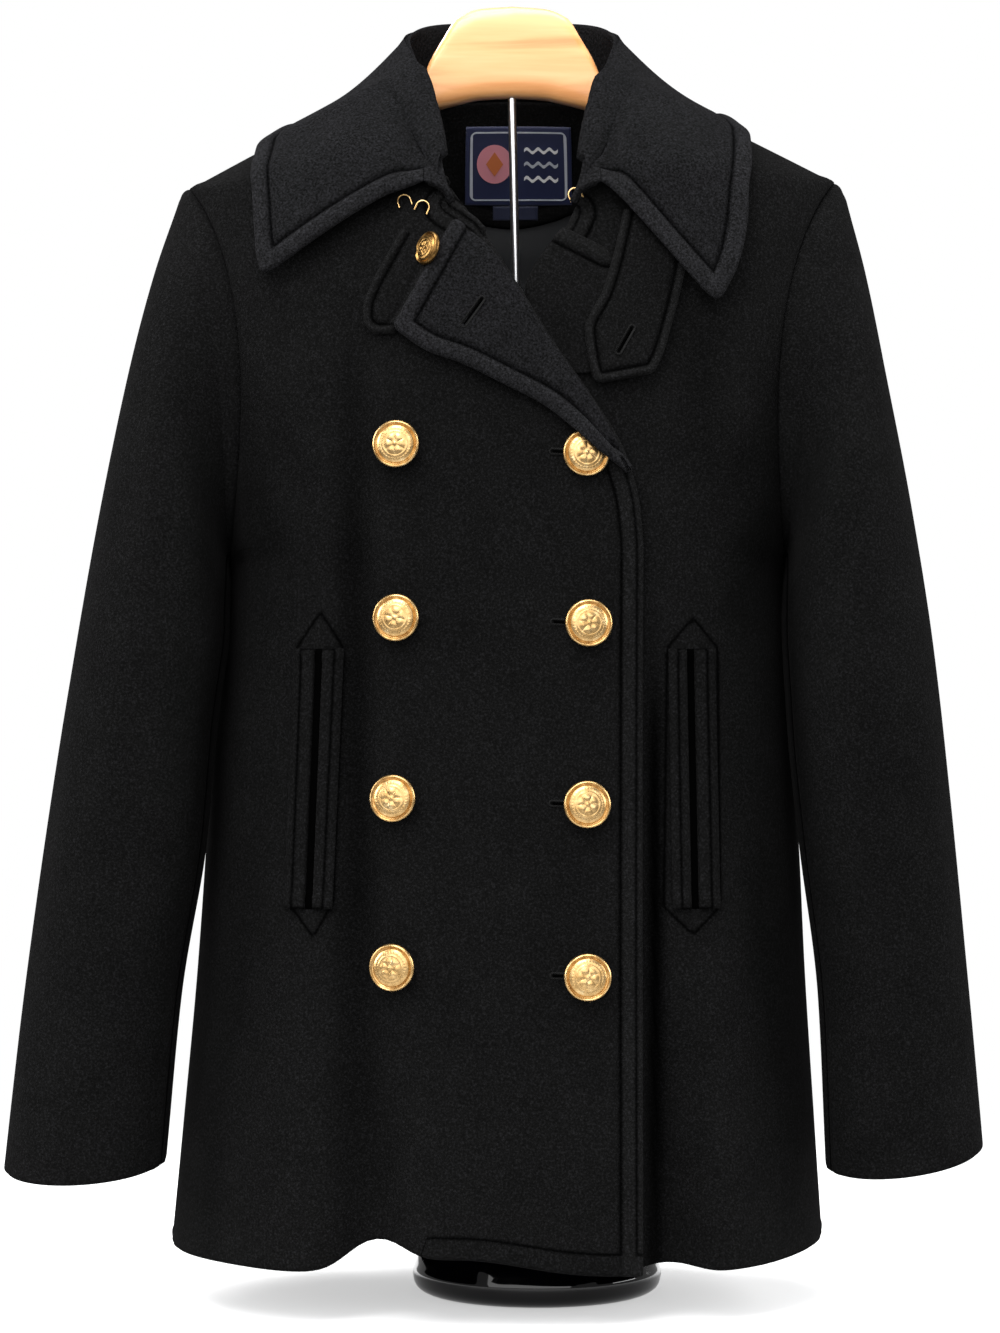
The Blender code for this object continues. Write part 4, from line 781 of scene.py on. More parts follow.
def makeCollar():
    *lines, flatness = zip(*collar["stations"])
    seamPath, foldPath, leftEdge, rightEdge = (pathThrough(line) for line in lines)
    settleLine = curveThrough(np.linspace(0, 1, len(flatness)), flatness)
    needed = []

    def place(u, v):
        u, v = rounded(u, v, *collar["size"], collar["tipRadius"], ((0, 1), (1, 1)))
        side, t = sideOf(u - 0.5), np.abs(2 * u - 1)
        seam, fold = seamPath(t), foldPath(t)
        edge = np.where((side < 0)[..., None], leftEdge(t), rightEdge(t))
        nearby = seamPath(np.minimum(t + 0.02, 1)) - seamPath(np.maximum(t - 0.02, 0))
        seamX, seamY = seam[..., 0], seam[..., 1]
        inward = unit(np.stack([-seamX, -seamY * np.where(seamY < 0, 0.2, 1.0), 0 * t], axis=-1))
        opening = unit(np.cross(nearby, inward))
        opening = opening * np.where(opening[..., 2:] < 0, -1.0, 1.0)
        clear = 0.0006 + collar["neckRise"] * ease(t / 0.6)
        start = seam + inward * (coat["cloth"] + coat["doubled"]) / 2 + opening * clear[..., None]
        out = unit((edge - fold) * np.array([1.0, 1.0, 0.0]))
        tall = np.linalg.norm(fold - start, axis=-1, keepdims=True)
        up = np.clip(v / collar["standShare"], 0, 1)[..., None]
        down = np.clip((v - collar["standShare"]) / (1 - collar["standShare"]), 0, 1)[..., None]
        settle = settleLine(t)
        leaf = edge - fold
        arrive = leaf * np.stack([1.6 - 0.6 * settle, 1.6 - 0.6 * settle, settle], axis=-1)
        stand = hermite(start, opening * tall * 1.1, fold, out * collar["foldRound"], up)
        points = np.where(up < 1, stand, hermite(fold, out * collar["leafRound"], edge, arrive, down))
        points[..., 0] *= side
        need = coat["doubled"] + mix(*collar["standOff"], ease((t - 0.45) / 0.35))
        needed.append((side, down[..., 0] > 0.3, need))
        return points

    def settled(grid):
        side, leaf, need = needed[-1]
        for _ in range(collar["settleRounds"]):
            grid = smoothGrid(grid, collar["settleStep"])
            lying = grid.reshape(-1, 3)
            lifted = lying.copy()
            for sign in (-1, 1):
                mine = (side == sign) & leaf
                lifted[mine] = clearOfBody(lying[mine], sign, need[mine])
            lift = smoothGrid((lifted - lying).reshape(grid.shape), collar["settleStep"])
            grid = grid + lift * collar["settleLift"]
        return smoothGrid(grid, 4)

    edges = ("high", "start", "end")
    makeCloth("coatCollar", place, collar["columns"], collar["rows"], coat["doubled"], (0, 0, 1),
              collar["cut"], "collar", material=meltonPaintedLit, turned=edges, margin=collar["margin"],
              held="folded", stitches=edgeRow(collar["margin"], *edges), settle=settled,
              kept=lambda v: ease((v - collar["borderFrom"]) / collar["borderFade"]),
              uStops=collar["uStops"], vStops=collar["vStops"])


# what is laid on the fronts

laps = {
    "lapelRoll": ((0.0690, 0.5060), (0.0600, 0.5235), (0.0475, 0.5450), (0.0360, 0.5620), (0.0230, 0.5805),
                  (0.0020, 0.6138), (-0.0140, 0.6370), (-0.0355, 0.6545)),
    "lapelOuter": ((0.0672, 0.5025), (0.0490, 0.5160), (0.0350, 0.5290), (0.0190, 0.5418), (-0.0040, 0.5538),
                   (-0.0297, 0.5665), (-0.0498, 0.5740), (-0.0706, 0.5885)),
    "lapelLift": 0.0046, "overButton": (0.0480, 0.5170), "buttonLift": 0.0082, "buttonReach": 0.020,
    "lapelThick": 0.0022, "lapelWrap": 0.12, "lapelInset": 0.0028, "lapelMargin": 0.011,
    "lapelStitch": 0.0108, "lapelSize": (0.085, 0.145), "lapelCorner": 0.004,
    "underMargin": 0.012, "tabMargin": 0.006, "tabCorner": 0.006,
    "cuts": {
        "rightLapel": (0.10, 0.16), "leftLapel": (0.050, 0.095), "rightTab": (0.050, 0.112),
        "leftTab": (0.030, 0.072), "welt": (0.016, 0.158), "mouth": (0.0115, 0.158),
    },
    "underLapelInner": ((0.0300, 0.5610), (0.0190, 0.5770), (0.0095, 0.5950), (0.0075, 0.6130),
                        (0.0205, 0.6385), (0.0305, 0.6510)),
    "underLapelOuter": ((0.0640, 0.5640), (0.0670, 0.5760), (0.0690, 0.5950), (0.0670, 0.6110),
                        (0.0620, 0.6260), (0.0570, 0.6375)),
    "tabInner": ((0.0660, 0.6600), (0.0615, 0.6400), (0.0534, 0.6120), (0.0425, 0.5880), (0.0440, 0.5720),
                 (0.0480, 0.5545)),
    "tabOuter": ((0.1100, 0.6480), (0.1050, 0.6320), (0.0989, 0.6093), (0.0940, 0.5930), (0.0885, 0.5740),
                 (0.0830, 0.5615)),
    "endOuter": ((-0.0665, 0.6480), (-0.0742, 0.6340), (-0.0831, 0.6168), (-0.0884, 0.6013),
                 (-0.0880, 0.5930), (-0.0819, 0.5850)),
    "endInner": ((-0.0500, 0.6420), (-0.0500, 0.6240), (-0.0560, 0.6090), (-0.0610, 0.5990),
                 (-0.0640, 0.5940), (-0.0700, 0.5850)),
    "tabThick": 0.0028, "slit": 0.0042, "weltWidth": 0.0119, "weltThick": 0.0022, "weltStitch": 0.0058,
    "mouthUnder": 0.0031, "mouthThick": 0.0004, "gap": 0.0003, "weltGap": 0.0006, "mouthGap": 0.0001,
    "slits": {"right": (-0.1150, -0.1207), "left": (0.1060, 0.1085)}, "slitTop": 0.3985, "slitBottom": 0.2440,
}


def rounded(u, v, wide, long, radius, corners):     # pulls the named corners in to a radius
    for atU, atV in corners:
        p = np.clip(1 - np.abs(u - atU) * wide / radius, 0, 1)
        q = np.clip(1 - np.abs(v - atV) * long / radius, 0, 1)
        nextU = u + (1 - 2 * atU) * (p - p * np.sqrt(1 - q * q / 2)) * radius / wide
        v = v + (1 - 2 * atV) * (q - q * np.sqrt(1 - p * p / 2)) * radius / long
        u = nextU
    return u, v


def stripBetween(first, second):    # x and z of points along two lines and across from one to the other
    one, two = pathThrough(first), pathThrough(second)
    return lambda along, across: np.moveaxis(mix(one(along), two(along), across[..., None]), -1, 0)


def makeLaid(name, node, panel, first, second, lift, thick, cut, columns, rows, corners=(), **more):
    strip = stripBetween(first, second)

    def place(u, v):
        u, v = rounded(u, v, *cut, laps["tabCorner"], corners)
        x, z = strip(v, u)
        return onBody(x, z, panel, lift(u, v) + thick)[0]

    makeCloth(name, place, columns, rows, thick, (0, -1, 0), cut, node, held="laid", restsOn=(panel,), **more)


def makeLapel():
    roll, outer = pathThrough(laps["lapelRoll"]), pathThrough(laps["lapelOuter"])
    wrap, overDoubled = laps["lapelWrap"], coat["doubled"] + 2 * laps["gap"]
    radius = (overDoubled + coat["cloth"]) / 2

    def place(u, v):
        w = np.clip((u - wrap) / (1 - wrap), 0, 1)
        w, t = rounded(w, v, *laps["lapelSize"], laps["lapelCorner"], ((1, 1),))
        a, b = roll(t), outer(t)
        back = unit(a - b)
        x, z = np.moveaxis(mix(a, b, w[..., None]) - back * (laps["lapelInset"] * (1 - w))[..., None], -1, 0)
        lift = laps["lapelLift"] * np.maximum(w, 1e-6) ** 0.6 * ease(t * 1.4)
        fromButton = np.hypot(x - laps["overButton"][0], z - laps["overButton"][1])
        lift = lift + laps["buttonLift"] * ease(w * 1.6) * bump(fromButton, laps["buttonReach"])
        flat, out = onBody(x, z, "rightFront", overDoubled + lift)
        turn = np.clip(1 - u / wrap, 0, 1) * math.pi          # 0 on top, pi on the wrong side of the front
        over = np.stack([back[..., 0], np.zeros(np.shape(u)), back[..., 1]], axis=-1)
        over = unit(over - out * (over * out).sum(-1, keepdims=True))
        aside, under = radius * np.sin(turn), radius * (1 - np.cos(turn))
        return flat + over * aside[..., None] - out * under[..., None]

    makeCloth("rightLapel", place, 84, 120, laps["lapelThick"], (0, -1, 0), laps["cuts"]["rightLapel"],
              "right_lapel", material=meltonPaintedLit, turned=("end", "high"), margin=laps["lapelMargin"],
              stitches=edgeRow(laps["lapelStitch"], "end", "high"), held="folded", restsOn=("rightFront",))


def slitLine(ends, shift):          # a straight line beside a pocket's slit
    return [(mix(*ends, t) + shift, mix(laps["slitTop"], laps["slitBottom"], t)) for t in (0, 0.5, 1)]


def makeLaidPieces():
    makeLapel()
    ends, cuts, gap, margin = ("start", "end", "high"), laps["cuts"], laps["gap"], laps["tabMargin"]
    makeLaid("leftLapel", "left_lapel", "leftFront", laps["underLapelInner"], laps["underLapelOuter"],
             lambda u, v: gap + 0 * u, coat["cloth"], cuts["leftLapel"], 40, 70, turned=ends,
             bordered=("high",), margin=laps["underMargin"], stitches=edgeRow(laps["underMargin"], "high"))
    makeLaid("rightTab", "right_tab", "leftFront", laps["tabInner"], laps["tabOuter"],
             lambda u, v: coat["cloth"] + 3 * gap + 0.002 * ease(v), laps["tabThick"], cuts["rightTab"],
             40, 84, corners=((0, 1), (1, 1)), turned=ends, margin=margin, stitches=edgeRow(margin, *ends))
    makeLaid("leftTab", "left_tab", "rightFront", laps["endOuter"], laps["endInner"],
             lambda u, v: gap + 0.001 * (1 - u), laps["tabThick"], cuts["leftTab"], 16, 60,
             corners=((0, 1),), turned=ends, margin=margin, stitches=edgeRow(margin, "start", "high"))
    for sideName, slit in laps["slits"].items():
        panel, inner = sideName + "Front", 1 if sideName == "right" else -1
        seen = "left" if sideName == "right" else "right"      # the wearer's right is seen on the left
        near = laps["slit"] / 2
        for welt, way in (("inner", inner), ("outer", -inner)):
            makeLaid(f"{seen}Pocket{welt.title()}Welt", f"{seen}_pocket_{welt}_welt", panel,
                     slitLine(slit, way * near), slitLine(slit, way * (near + laps["weltWidth"])),
                     lambda u, v: laps["weltGap"] + 0 * u, laps["weltThick"], cuts["welt"], 18, 90,
                     turned=("start",), bordered=(), sewn=("end", "low", "high"),
                     stitches=edgeRow(laps["weltStitch"], "end"))
        under = near + laps["mouthUnder"]
        # the pocketing under each slit is painted near-black as the slit's shade
        makeLaid(f"{seen}PocketMouth", None, panel, slitLine(slit, -under), slitLine(slit, under),
                 lambda u, v: laps["mouthGap"] + 0 * u, laps["mouthThick"], cuts["mouth"], 4, 60,
                 material=slitShadePocketing, slotName="lining")


# the inside of the neck

neckInside = {
    "facing": (((-0.074, 0.7330), (-0.055, 0.6900), (0.0, 0.6700), (0.055, 0.6900), (0.074, 0.7330)),
               ((-0.072, 0.7420), (-0.050, 0.7465), (0.0, 0.7480), (0.050, 0.7465), (0.072, 0.7420))),
    "lining": (((-0.100, 0.4900), (-0.050, 0.4900), (0.0, 0.4900), (0.050, 0.4900), (0.100, 0.4900)),
               ((-0.094, 0.6600), (-0.060, 0.6920), (0.0, 0.6970), (0.060, 0.6920), (0.094, 0.6600))),
    "label": (((-0.0300, 0.6866), (0.0045, 0.6862), (0.0390, 0.6866)),
              ((-0.0300, 0.7337), (0.0045, 0.7337), (0.0390, 0.7337))),
    "sizeTab": (((-0.0120, 0.6770), (0.0030, 0.6770), (0.0170, 0.6770)),
                ((-0.0120, 0.6856), (0.0030, 0.6856), (0.0170, 0.6856))),
    "overLining": 0.0044, "overFacing": 0.0076, "underLining": 0.0028, "behind": 0.0003,
    "facingThick": 0.0018, "facingDepth": 0.0024, "liningThick": 0.0012, "labelThick": 0.0008,
    "cuts": {"facing": (0.15, 0.08), "lining": (0.20, 0.21), "label": (0.0715, 0.050),
             "sizeTab": (0.030, 0.010)},
}


def insidePlace(part, depth):       # a place on the back's wrong side, at a depth from it
    strip = stripBetween(*neckInside[part])

    def place(u, v):
        x, z = strip(u, v)
        return onBody(x, z, "back", -(coat["cloth"] + neckInside["behind"] + depth(v)))[0]

    return place


def makeNeckInside():
    deep, cuts = neckInside["overLining"] + neckInside["facingThick"], neckInside["cuts"]
    place = insidePlace("facing", lambda v: mix(deep, neckInside["facingDepth"], v ** 2))
    makeCloth("neckFacing", place, 60, 36, neckInside["facingThick"], (0, -1, 0), cuts["facing"],
              "back_neck_facing", turned=("low",), held="laid", restsOn=("coatBack",))
    makeCloth("backLining", insidePlace("lining", lambda v: neckInside["underLining"] + 0 * v), 60, 60,
              neckInside["liningThick"], (0, -1, 0), cuts["lining"], "back_lining", material=liningTwill,
              slotName="lining", held="laid", restsOn=("coatBack",))
    for name, part, columns, rows, node, satin in (
        ("neckLabel", "label", 40, 28, "neck_label", labelSatin),
        ("sizeTab", "sizeTab", 16, 8, "size_tab", tabSatin),
    ):
        makeCloth(name, insidePlace(part, lambda v: neckInside["overFacing"] + 0 * v), columns, rows,
                  neckInside["labelThick"], (0, -1, 0), cuts[part], node, material=satin, slotName="label",
                  held="laid", restsOn=("neckFacing",))


# the label's woven design: a border, a disc with a diamond, and three waves

badge = {
    "middle": (0.0045, 0.7101), "half": (0.0315, 0.0206), "border": 0.0009, "corner": 0.004, "lift": 0.0084,
    "disc": (-0.0110, 0.7115), "discRadius": 0.0115, "diamond": 0.0056, "waves": (0.7195, 0.7110, 0.7025),
    "waveSpan": (0.0080, 0.0300), "waveHeight": 0.0012, "waveTurn": 860, "waveHalf": 0.0009, "thread": 0.0003,
}


def wovenShape(name, outline, material, above=0.0):
    bm = bmesh.new()
    bm.faces.new([bm.verts.new((x, 0.0, z)) for x, z in outline])
    bmesh.ops.triangulate(bm, faces=bm.faces)
    bmesh.ops.subdivide_edges(bm, edges=[edge for edge in bm.edges if edge.calc_length() > 0.003], cuts=3,
                              use_grid_fill=True)
    raised = bmesh.ops.extrude_face_region(bm, geom=list(bm.faces))
    top = {item for item in raised["geom"] if isinstance(item, bmesh.types.BMVert)}
    for vertex in bm.verts:
        depth = coat["cloth"] + neckInside["behind"] + badge["lift"] + above
        depth += badge["thread"] if vertex in top else 0.0
        vertex.co = placed(onBody(vertex.co.x, vertex.co.z, "back", -depth)[0])
    bmesh.ops.recalc_face_normals(bm, faces=bm.faces)
    finish(meshObject(name, bm, 30), material, "label")


def makeBadge():
    corner = badge["corner"]

    def frameLine(inset):
        points = []
        for k in range(32):
            a = 2 * math.pi * (k + 0.5) / 32
            points.append([middle + math.copysign(half - corner, f) + (corner - inset) * f for middle, half, f
                           in zip(badge["middle"], badge["half"], (math.cos(a), math.sin(a)))])
        return points

    outer, inner = frameLine(0.0), frameLine(badge["border"])
    for k, quarter in enumerate(("a", "b", "c", "d")):     # the border in four runs, corner to corner
        run = [(8 * k + i + 4) % 32 for i in range(9)]
        wovenShape(f"labelBorder_{quarter}", [outer[i] for i in run] + [inner[i] for i in reversed(run)],
                   silverThread)
    (x, z), radius, reach = badge["disc"], badge["discRadius"], badge["diamond"]
    turns = np.linspace(0, 2 * math.pi, 33)[:-1]
    wovenShape("labelDisc", [(x + radius * math.cos(a), z + radius * math.sin(a)) for a in turns], pinkThread)
    wovenShape("labelDiamond", [(x + reach, z), (x, z + reach * 1.3), (x - reach, z), (x, z - reach * 1.3)],
               rustThread, 2 * badge["thread"])
    xs = np.linspace(*badge["waveSpan"], 25)
    for k, height in enumerate(badge["waves"]):
        swell = [(a, height + badge["waveHeight"] * math.sin((a - xs[0]) * badge["waveTurn"])) for a in xs]
        top, low = ([(a, z + half) for a, z in swell] for half in (badge["waveHalf"], -badge["waveHalf"]))
        wovenShape(f"labelWave_{k + 1}", top + low[::-1], whiteThread if k != 1 else silverThread)


# buttons, hooks, buttonholes

button = {
    "left": ((-0.0680, 0.5195), (-0.0676, 0.4167), (-0.0690, 0.3098), (-0.0688, 0.2108)),
    "right": ((0.0436, 0.5145), (0.0443, 0.4135), (0.0433, 0.3063), (0.0438, 0.2050)),
    "diameter": 0.0282, "rise": 0.0075, "dome": 0.0024, "steps": 96, "sharp": 50,
    # the groove and the raised rim down to the shank: share of the radius, height over the rise
    "rim": ((0.825, -0.0002), (0.85, -0.0001), (0.88, 0.0006), (0.92, 0.0010), (0.96, 0.0007),
            (0.99, -0.0001), (1.0, -0.0010), (0.98, -0.0019), (0.90, -0.0026), (0.34, -0.0034)),
    "petals": 6, "petalRise": 0.00055, "beads": 32, "beadRise": 0.00028, "ringRise": 0.00025,
    "tabDiameter": 0.0205, "tabRise": 0.0095, "tabAt": (-0.0435, 0.6339), "tabTurn": math.radians(-50),
    "sunk": 0.0036, "tabLift": 0.0022, "holeFrom": -0.0215, "holeTo": 0.0030, "holeEnd": 0.0016,
    "holeStitches": 24, "holeThread": 0.0007, "slitShadeRadius": 0.0006, "purl": 0.0002,
}


def makeButton(name, node, diameter, rise, point, facing, spinTurn, metal=giltBrass):
    r = diameter / 2
    turns = np.linspace(0, 1.45, 30)
    profile = [(r * 0.80 * math.sin(a), rise + button["dome"] * math.cos(a)) for a in turns]
    profile += [(r * out, rise + up) for out, up in button["rim"]] + [(r * 0.24, 0.0), (0.0, 0.0)]
    bm = spunForm(profile, button["steps"])
    for vertex in bm.verts:        # a worn rosette inside a ring of beads
        out = math.hypot(vertex.co.x, vertex.co.y) / r
        if vertex.co.z > rise and out < 0.8:
            turn = math.atan2(vertex.co.y, vertex.co.x)
            petal = abs(math.cos(button["petals"] * turn / 2))
            inside = bump(out - 0.30, 0.13) * petal ** 0.7 + 1.1 * bump(out, 0.075)
            beads = bump(out - 0.66, 0.045) * (0.5 + 0.5 * math.cos(button["beads"] * turn))
            vertex.co.z += button["petalRise"] * inside + button["beadRise"] * beads
            vertex.co.z += button["ringRise"] * bump(out - 0.52, 0.025)
    bmesh.ops.recalc_face_normals(bm, faces=bm.faces)
    turnTo = facing.to_track_quat("Z", "Y").to_matrix().to_4x4()
    bm.transform(Matrix.Translation(placed(point)) @ turnTo @ Matrix.Rotation(spinTurn, 4, "Z"))
    finish(meshObject(name, bm, button["sharp"]), metal, "gilt", node)


def makeWire(name, points, radius, material, slotName, nodes=(), closed=False):
    curve = bpy.data.curves.new(name, "CURVE")
    curve.dimensions = "3D"
    curve.bevel_depth, curve.bevel_resolution, curve.use_fill_caps = radius, 3, True
    spline = curve.splines.new("POLY")
    spline.points.add(len(points) - 1)
    for target, point in zip(spline.points, points):
        target.co = (*placed(point), 1.0)
    spline.use_cyclic_u = closed
    drawn = bpy.data.objects.new(name, curve)
    bpy.context.scene.collection.objects.link(drawn)
    mesh = bpy.data.meshes.new_from_object(drawn.evaluated_get(bpy.context.evaluated_depsgraph_get()))
    bpy.data.objects.remove(drawn)
    mesh.name = name
    mesh.materials.clear()
    mesh.shade_smooth()
    piece = bpy.data.objects.new(name, mesh)
    bpy.context.scene.collection.objects.link(piece)
    finish(piece, material, slotName, *nodes)


def makeButtonhole(name, panel, first, last, lift):     # purl stitches round a cut slit
    (x0, z0), (x1, z1) = first, last
    length, end = math.hypot(x1 - x0, z1 - z0), button["holeEnd"]
    alongX, alongZ = (x1 - x0) / length, (z1 - z0) / length

    def at(run, off, above):
        x, z = x0 + alongX * run - alongZ * off, z0 + alongZ * run + alongX * off
        return onBody(x, z, panel, lift + above)[0]

    points = []
    for k in range(2 * button["holeStitches"]):
        a = math.pi * k / button["holeStitches"]
        run = (length / 2 - end) * math.copysign(1, math.cos(a)) + end * math.cos(a) + length / 2
        points.append(at(run, end * math.sin(a), button["purl"] * (k % 2)))
    makeWire(name, points, button["holeThread"], blackThread, "melton", closed=True)
    # a dark line along the cut slit, painted as its shade
    slit = [at(run, 0.0, 0.0) for run in np.linspace(end, length - end, 12)]
    makeWire(name + "SlitShade", slit, button["slitShadeRadius"], slitShadePocketing, "melton")


hooks = {
    "wire": 0.00055, "width": 0.0078, "drop": 0.0034,
    "rows": (              # piece, node, panel, x, z, lean, gap
        ("hookOuter", "hook_1", "rightFront", -0.0646, 0.6660, -0.30, 0.0010),
        ("hookInner", "hook_2", "rightFront", -0.0536, 0.6622, 0.40, 0.0010),
        ("wireEye", "eye", "leftFront", 0.0375, 0.6705, -0.40, 0.0014),
    ),
}


def makeTrim():
    for column in ("left", "right"):
        for k, (x, z) in enumerate(button[column]):
            sunk = button["sunk"] if (column, k) == ("right", 0) else 0.0      # one sits under the lapel
            point, out = onBody(x, z, "rightFront", 0.0005 - sunk)
            makeButton(f"{column}Button_{k + 1}", f"button_{column}_{k + 1}", button["diameter"],
                       button["rise"], point, Vector(out), 0.3 * k)
            if column == "right":
                makeButtonhole(f"buttonhole_{k + 1}", "rightFront", (x + button["holeFrom"], z + 0.001),
                               (x + button["holeTo"], z), 0.0001)
    # the tab button takes the gilt painted darker for the lapel's shade
    point, out = onBody(*button["tabAt"], "rightFront", button["tabLift"])
    facing = Matrix.Rotation(button["tabTurn"], 3, "Z") @ Vector(out)
    makeButton("tabButton", "tab_button", button["tabDiameter"], button["tabRise"],
               point, facing, 0.2, shadedGilt)
    makeButtonhole("lapelHole", "rightFront", (-0.0295, 0.5880), (-0.0171, 0.6056), coat["doubled"] + 0.0038)
    makeButtonhole("tabHole", "leftFront", (0.0612, 0.5725), (0.0706, 0.5896),
                   coat["cloth"] + laps["tabThick"] + 0.0029)
    for name, node, panel, x, z, lean, gap in hooks["rows"]:
        points = []
        for k in range(41):        # up one leg, round the bend, down the other
            turn = math.pi * (k - 8) / 24
            half, down = hooks["width"] / 2, (8 - k if k < 8 else k - 32) * hooks["drop"] / 8
            aside, up = (-half if k < 8 else half), -down
            if 8 <= k <= 32:
                aside, up = -math.cos(turn) * half, math.sin(turn) * half
            across = aside * math.cos(lean) + up * math.sin(lean)
            upward = up * math.cos(lean) - aside * math.sin(lean)
            points.append(onBody(x + across, z + upward, panel, hooks["wire"] + gap)[0])
        makeWire(name, points, hooks["wire"], giltBrass, "gilt", [node])


# the stand

stand = {
    # x, top, underside and half depth of the shoulder piece near the neck; beyond, it follows the coat
    "rows": ((0.000, 0.7972, 0.7410, 0.0115), (0.020, 0.7957, 0.7398, 0.0115),
             (0.034, 0.7902, 0.7368, 0.0118), (0.043, 0.7769, 0.7346, 0.0120),
             (0.050, 0.7650, 0.7326, 0.0124), (0.057, 0.7502, 0.7280, 0.0130),
             (0.070, 0.7415, 0.7180, 0.0140)),
    "endX": 0.1860, "thick": 0.0230, "endDepth": 0.0150, "block": 0.5,
    "rim": ((0.0392, 0.0300), (0.0392, 0.0362), (0.0402, 0.0368), (0.0540, 0.0362), (0.0640, 0.0342),
            (0.0700, 0.0308), (0.0735, 0.0262), (0.0757, 0.0190), (0.0769, 0.0135), (0.0760, 0.0080),
            (0.0725, 0.0035), (0.0650, 0.0008), (0.052, 0.0), (0.0, 0.0)),
    "cap": ((0.0, 0.0440), (0.0095, 0.0440), (0.0110, 0.0434), (0.0126, 0.0415), (0.0140, 0.0405),
            (0.0240, 0.0398), (0.0330, 0.0388), (0.0380, 0.0374), (0.0390, 0.0360), (0.0390, 0.0300),
            (0.0, 0.0300)),
    "poleRadius": 0.0026, "poleFoot": (0.0, 0.0, 0.0443), "poleTop": 0.7407, "underCoat": 0.0008,
}


def spun(name, profile, material, slotName, *nodes):
    bm = spunForm(profile, 96)
    bmesh.ops.recalc_face_normals(bm, faces=bm.faces)
    finish(meshObject(name, bm, 35), material, slotName, *nodes)


def smoothed(profile, count):       # more points along the same turned line
    return [tuple(point) for point in pathThrough(profile)(np.linspace(0, 1, count))]


def makeStand():
    rim, cap, rows = stand["rim"], stand["cap"], list(stand["rows"])
    spun("standBase", [*rim[:2], *smoothed(rim[2:13], 52), *rim[13:]], blackEnamel, "black_enamel", "base")
    spun("baseCap", [*smoothed(cap[:9], 36), *cap[9:]], polishedSteel, "steel")
    x0, _, _, depth0 = rows[-1]
    for share in np.linspace(0, 1, 13)[1:]:
        x = mix(x0, stand["endX"], share)
        top = min(shoulderZ(x), shoulderZ(-x)) - coat["cloth"] * 1.35 - stand["underCoat"]
        rows.append((x, top, top - stand["thick"], mix(depth0, stand["endDepth"], share)))
    topLine, lowLine, depthLine = linesOf(rows)
    bm, u, v = gridForm(160, 40)
    x, angle = (2 * u - 1) * stand["endX"], (2 * v - 1) * math.pi
    high, low, deep = topLine(np.abs(x)), lowLine(np.abs(x)), depthLine(np.abs(x))
    across, up = (np.sign(turn) * np.abs(turn) ** stand["block"] for turn in (np.sin(angle), np.cos(angle)))
    form = np.stack([x, coat["ridgeY"] + deep * across, (high + low) / 2 + (high - low) / 2 * up], axis=-1)
    for vertex, point in zip(bm.verts, placed(form)):
        vertex.co = point
    bmesh.ops.remove_doubles(bm, verts=bm.verts, dist=0.00001)
    bmesh.ops.holes_fill(bm, edges=[edge for edge in bm.edges if edge.is_boundary])
    bmesh.ops.recalc_face_normals(bm, faces=bm.faces)
    finish(meshObject("shoulderPiece", bm, 45), beechWood, "beech", "shoulder_piece")
    foot, head = Vector(stand["poleFoot"]), Vector((coat["centreX"], coat["ridgeY"], stand["poleTop"]))
    lean = head - foot
    bm = bmesh.new()
    bmesh.ops.create_cone(bm, cap_ends=True, segments=32, radius1=stand["poleRadius"],
                          radius2=stand["poleRadius"], depth=lean.length)
    bm.transform(Matrix.Translation((foot + head) / 2) @ lean.to_track_quat("Z", "Y").to_matrix().to_4x4())
    finish(meshObject("standPole", bm, 40), polishedSteel, "steel", "pole")


makeFronts()
makeBack()
print("body panels laid")
makeSleeves()
print("sleeves set in")
makeCollar()
print("collar turned")
makeLaidPieces()
print("lapels, tabs and pocket welts laid on")
makeNeckInside()
makeBadge()
print("neck finished inside")
makeTrim()
print("buttons, hooks and buttonholes sewn on")
makeStand()
print("stand turned")


# floor, light and camera

studio = {
    "floorRadius": 3.0, "floor": "#F4F4F5", "floorGlow": 0.10, "floorShare": 0.55,
    "fadeFrom": 0.35, "fadeTo": 1.1, "world": "#FFFFFF", "backdrop": 1.0, "roomLight": 0.28,
    "lights": (            # place, width, height, watts
        ((-0.4, -2.95, 1.30), 5.0, 2.4, 90.0), ((-0.7, -1.5, 2.5), 1.4, 1.4, 60.0),
        ((0.2, -0.2, 2.7), 1.6, 1.6, 50.0), ((-1.5, 2.2, 1.9), 1.6, 1.6, 130.0),
        ((1.9, 2.0, 1.0), 1.4, 1.4, 60.0), ((-2.8, -0.1, 1.3), 1.6, 1.8, 85.0),
        ((2.8, -0.1, 1.3), 1.6, 1.8, 85.0),
    ),
    "lookAt": (-0.015, 0.0, 0.42),
    "camera": (-0.0229, -2.45, 0.388), "lens": 106.7,
}


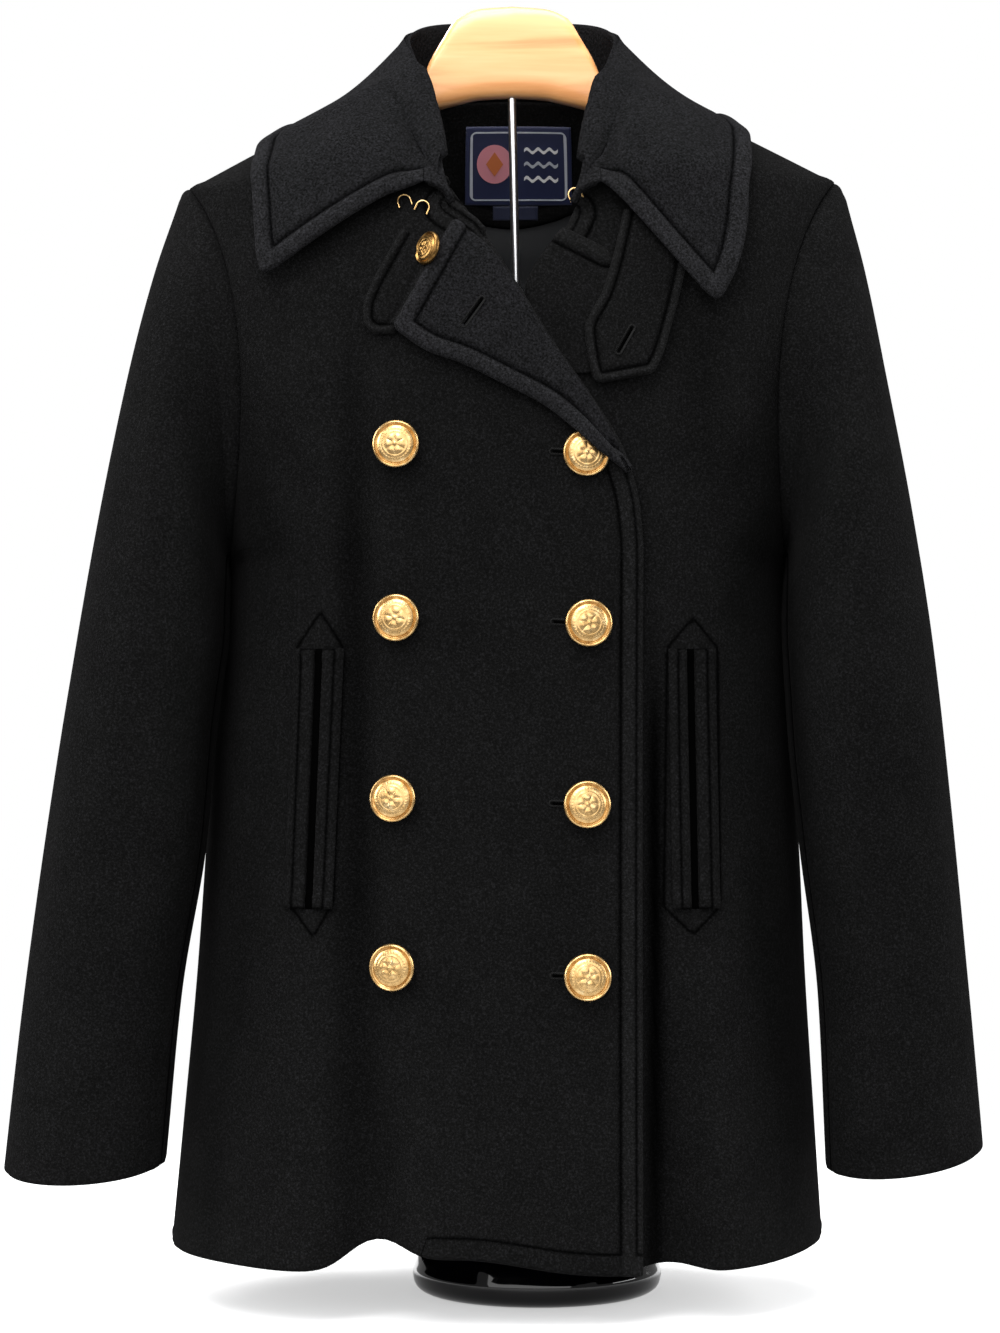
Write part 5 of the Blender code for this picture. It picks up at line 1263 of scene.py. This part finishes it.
def makeStudio():
    material, tree, shader = newMaterial("pale_studio_floor", {
        "Base Color": colour(studio["floor"]), "Roughness": 0.8,
        "Emission Color": colour(studio["floor"]), "Emission Strength": studio["floorGlow"]})
    place = addNode(tree, "TexCoord", {}, "Object")
    # the sweep of paper dies away into the white round it, and from underneath it isn't seen
    away = addNode(tree, "VectorMath", {0: place}, "Value", operation="LENGTH")
    fade = addNode(tree, "MapRange", {
        "Value": away, 1: studio["fadeFrom"], 2: studio["fadeTo"], 3: studio["floorShare"], 4: 0.0,
    }, interpolation_type="SMOOTHSTEP")
    under = addNode(tree, "NewGeometry", {}, "Backfacing")
    above = addNode(tree, "Math", {0: 1.0, 1: under}, operation="SUBTRACT")
    share = addNode(tree, "Math", {0: fade, 1: above}, operation="MULTIPLY")
    tree.links.new(share, shader.inputs["Alpha"])
    bm = bmesh.new()
    bmesh.ops.create_circle(bm, cap_ends=True, segments=96, radius=studio["floorRadius"])
    floor = meshObject("studioFloor", bm)
    floor.data.materials.append(material)
    world = bpy.data.worlds.new("soft_white_room")
    world.use_nodes = True
    # the backdrop is seen white, while the dim room it hangs in lets the softboxes model the cloth
    seen = addNode(world.node_tree, "LightPath", {}, "Is Camera Ray")
    extra = studio["backdrop"] - studio["roomLight"]
    strength = addNode(world.node_tree, "Math", {0: seen, 1: extra, 2: studio["roomLight"]},
                       operation="MULTIPLY_ADD")
    background = world.node_tree.nodes["Background"]
    background.inputs["Color"].default_value = colour(studio["world"])
    world.node_tree.links.new(strength, background.inputs["Strength"])
    bpy.context.scene.world = world
    for k, (place, wide, tall, watts) in enumerate(studio["lights"]):
        lamp = bpy.data.lights.new(f"softbox_{k + 1}", "AREA")
        lamp.shape, lamp.size, lamp.size_y, lamp.energy = "RECTANGLE", wide, tall, watts
        holder = bpy.data.objects.new(f"softbox_{k + 1}", lamp)
        holder.location = place
        holder.rotation_euler = (Vector(studio["lookAt"]) - Vector(place)).to_track_quat("-Z", "Y").to_euler()
        bpy.context.scene.collection.objects.link(holder)
    camera = bpy.data.objects.new("camera", bpy.data.cameras.new("camera"))
    camera.location, camera.rotation_euler = studio["camera"], (math.pi / 2, 0.0, 0.0)
    camera.data.lens = studio["lens"]
    bpy.context.scene.collection.objects.link(camera)
    bpy.context.scene.camera = camera
    bpy.context.scene.view_settings.view_transform = "Standard"


makeStudio()
print("floor, light and camera set")
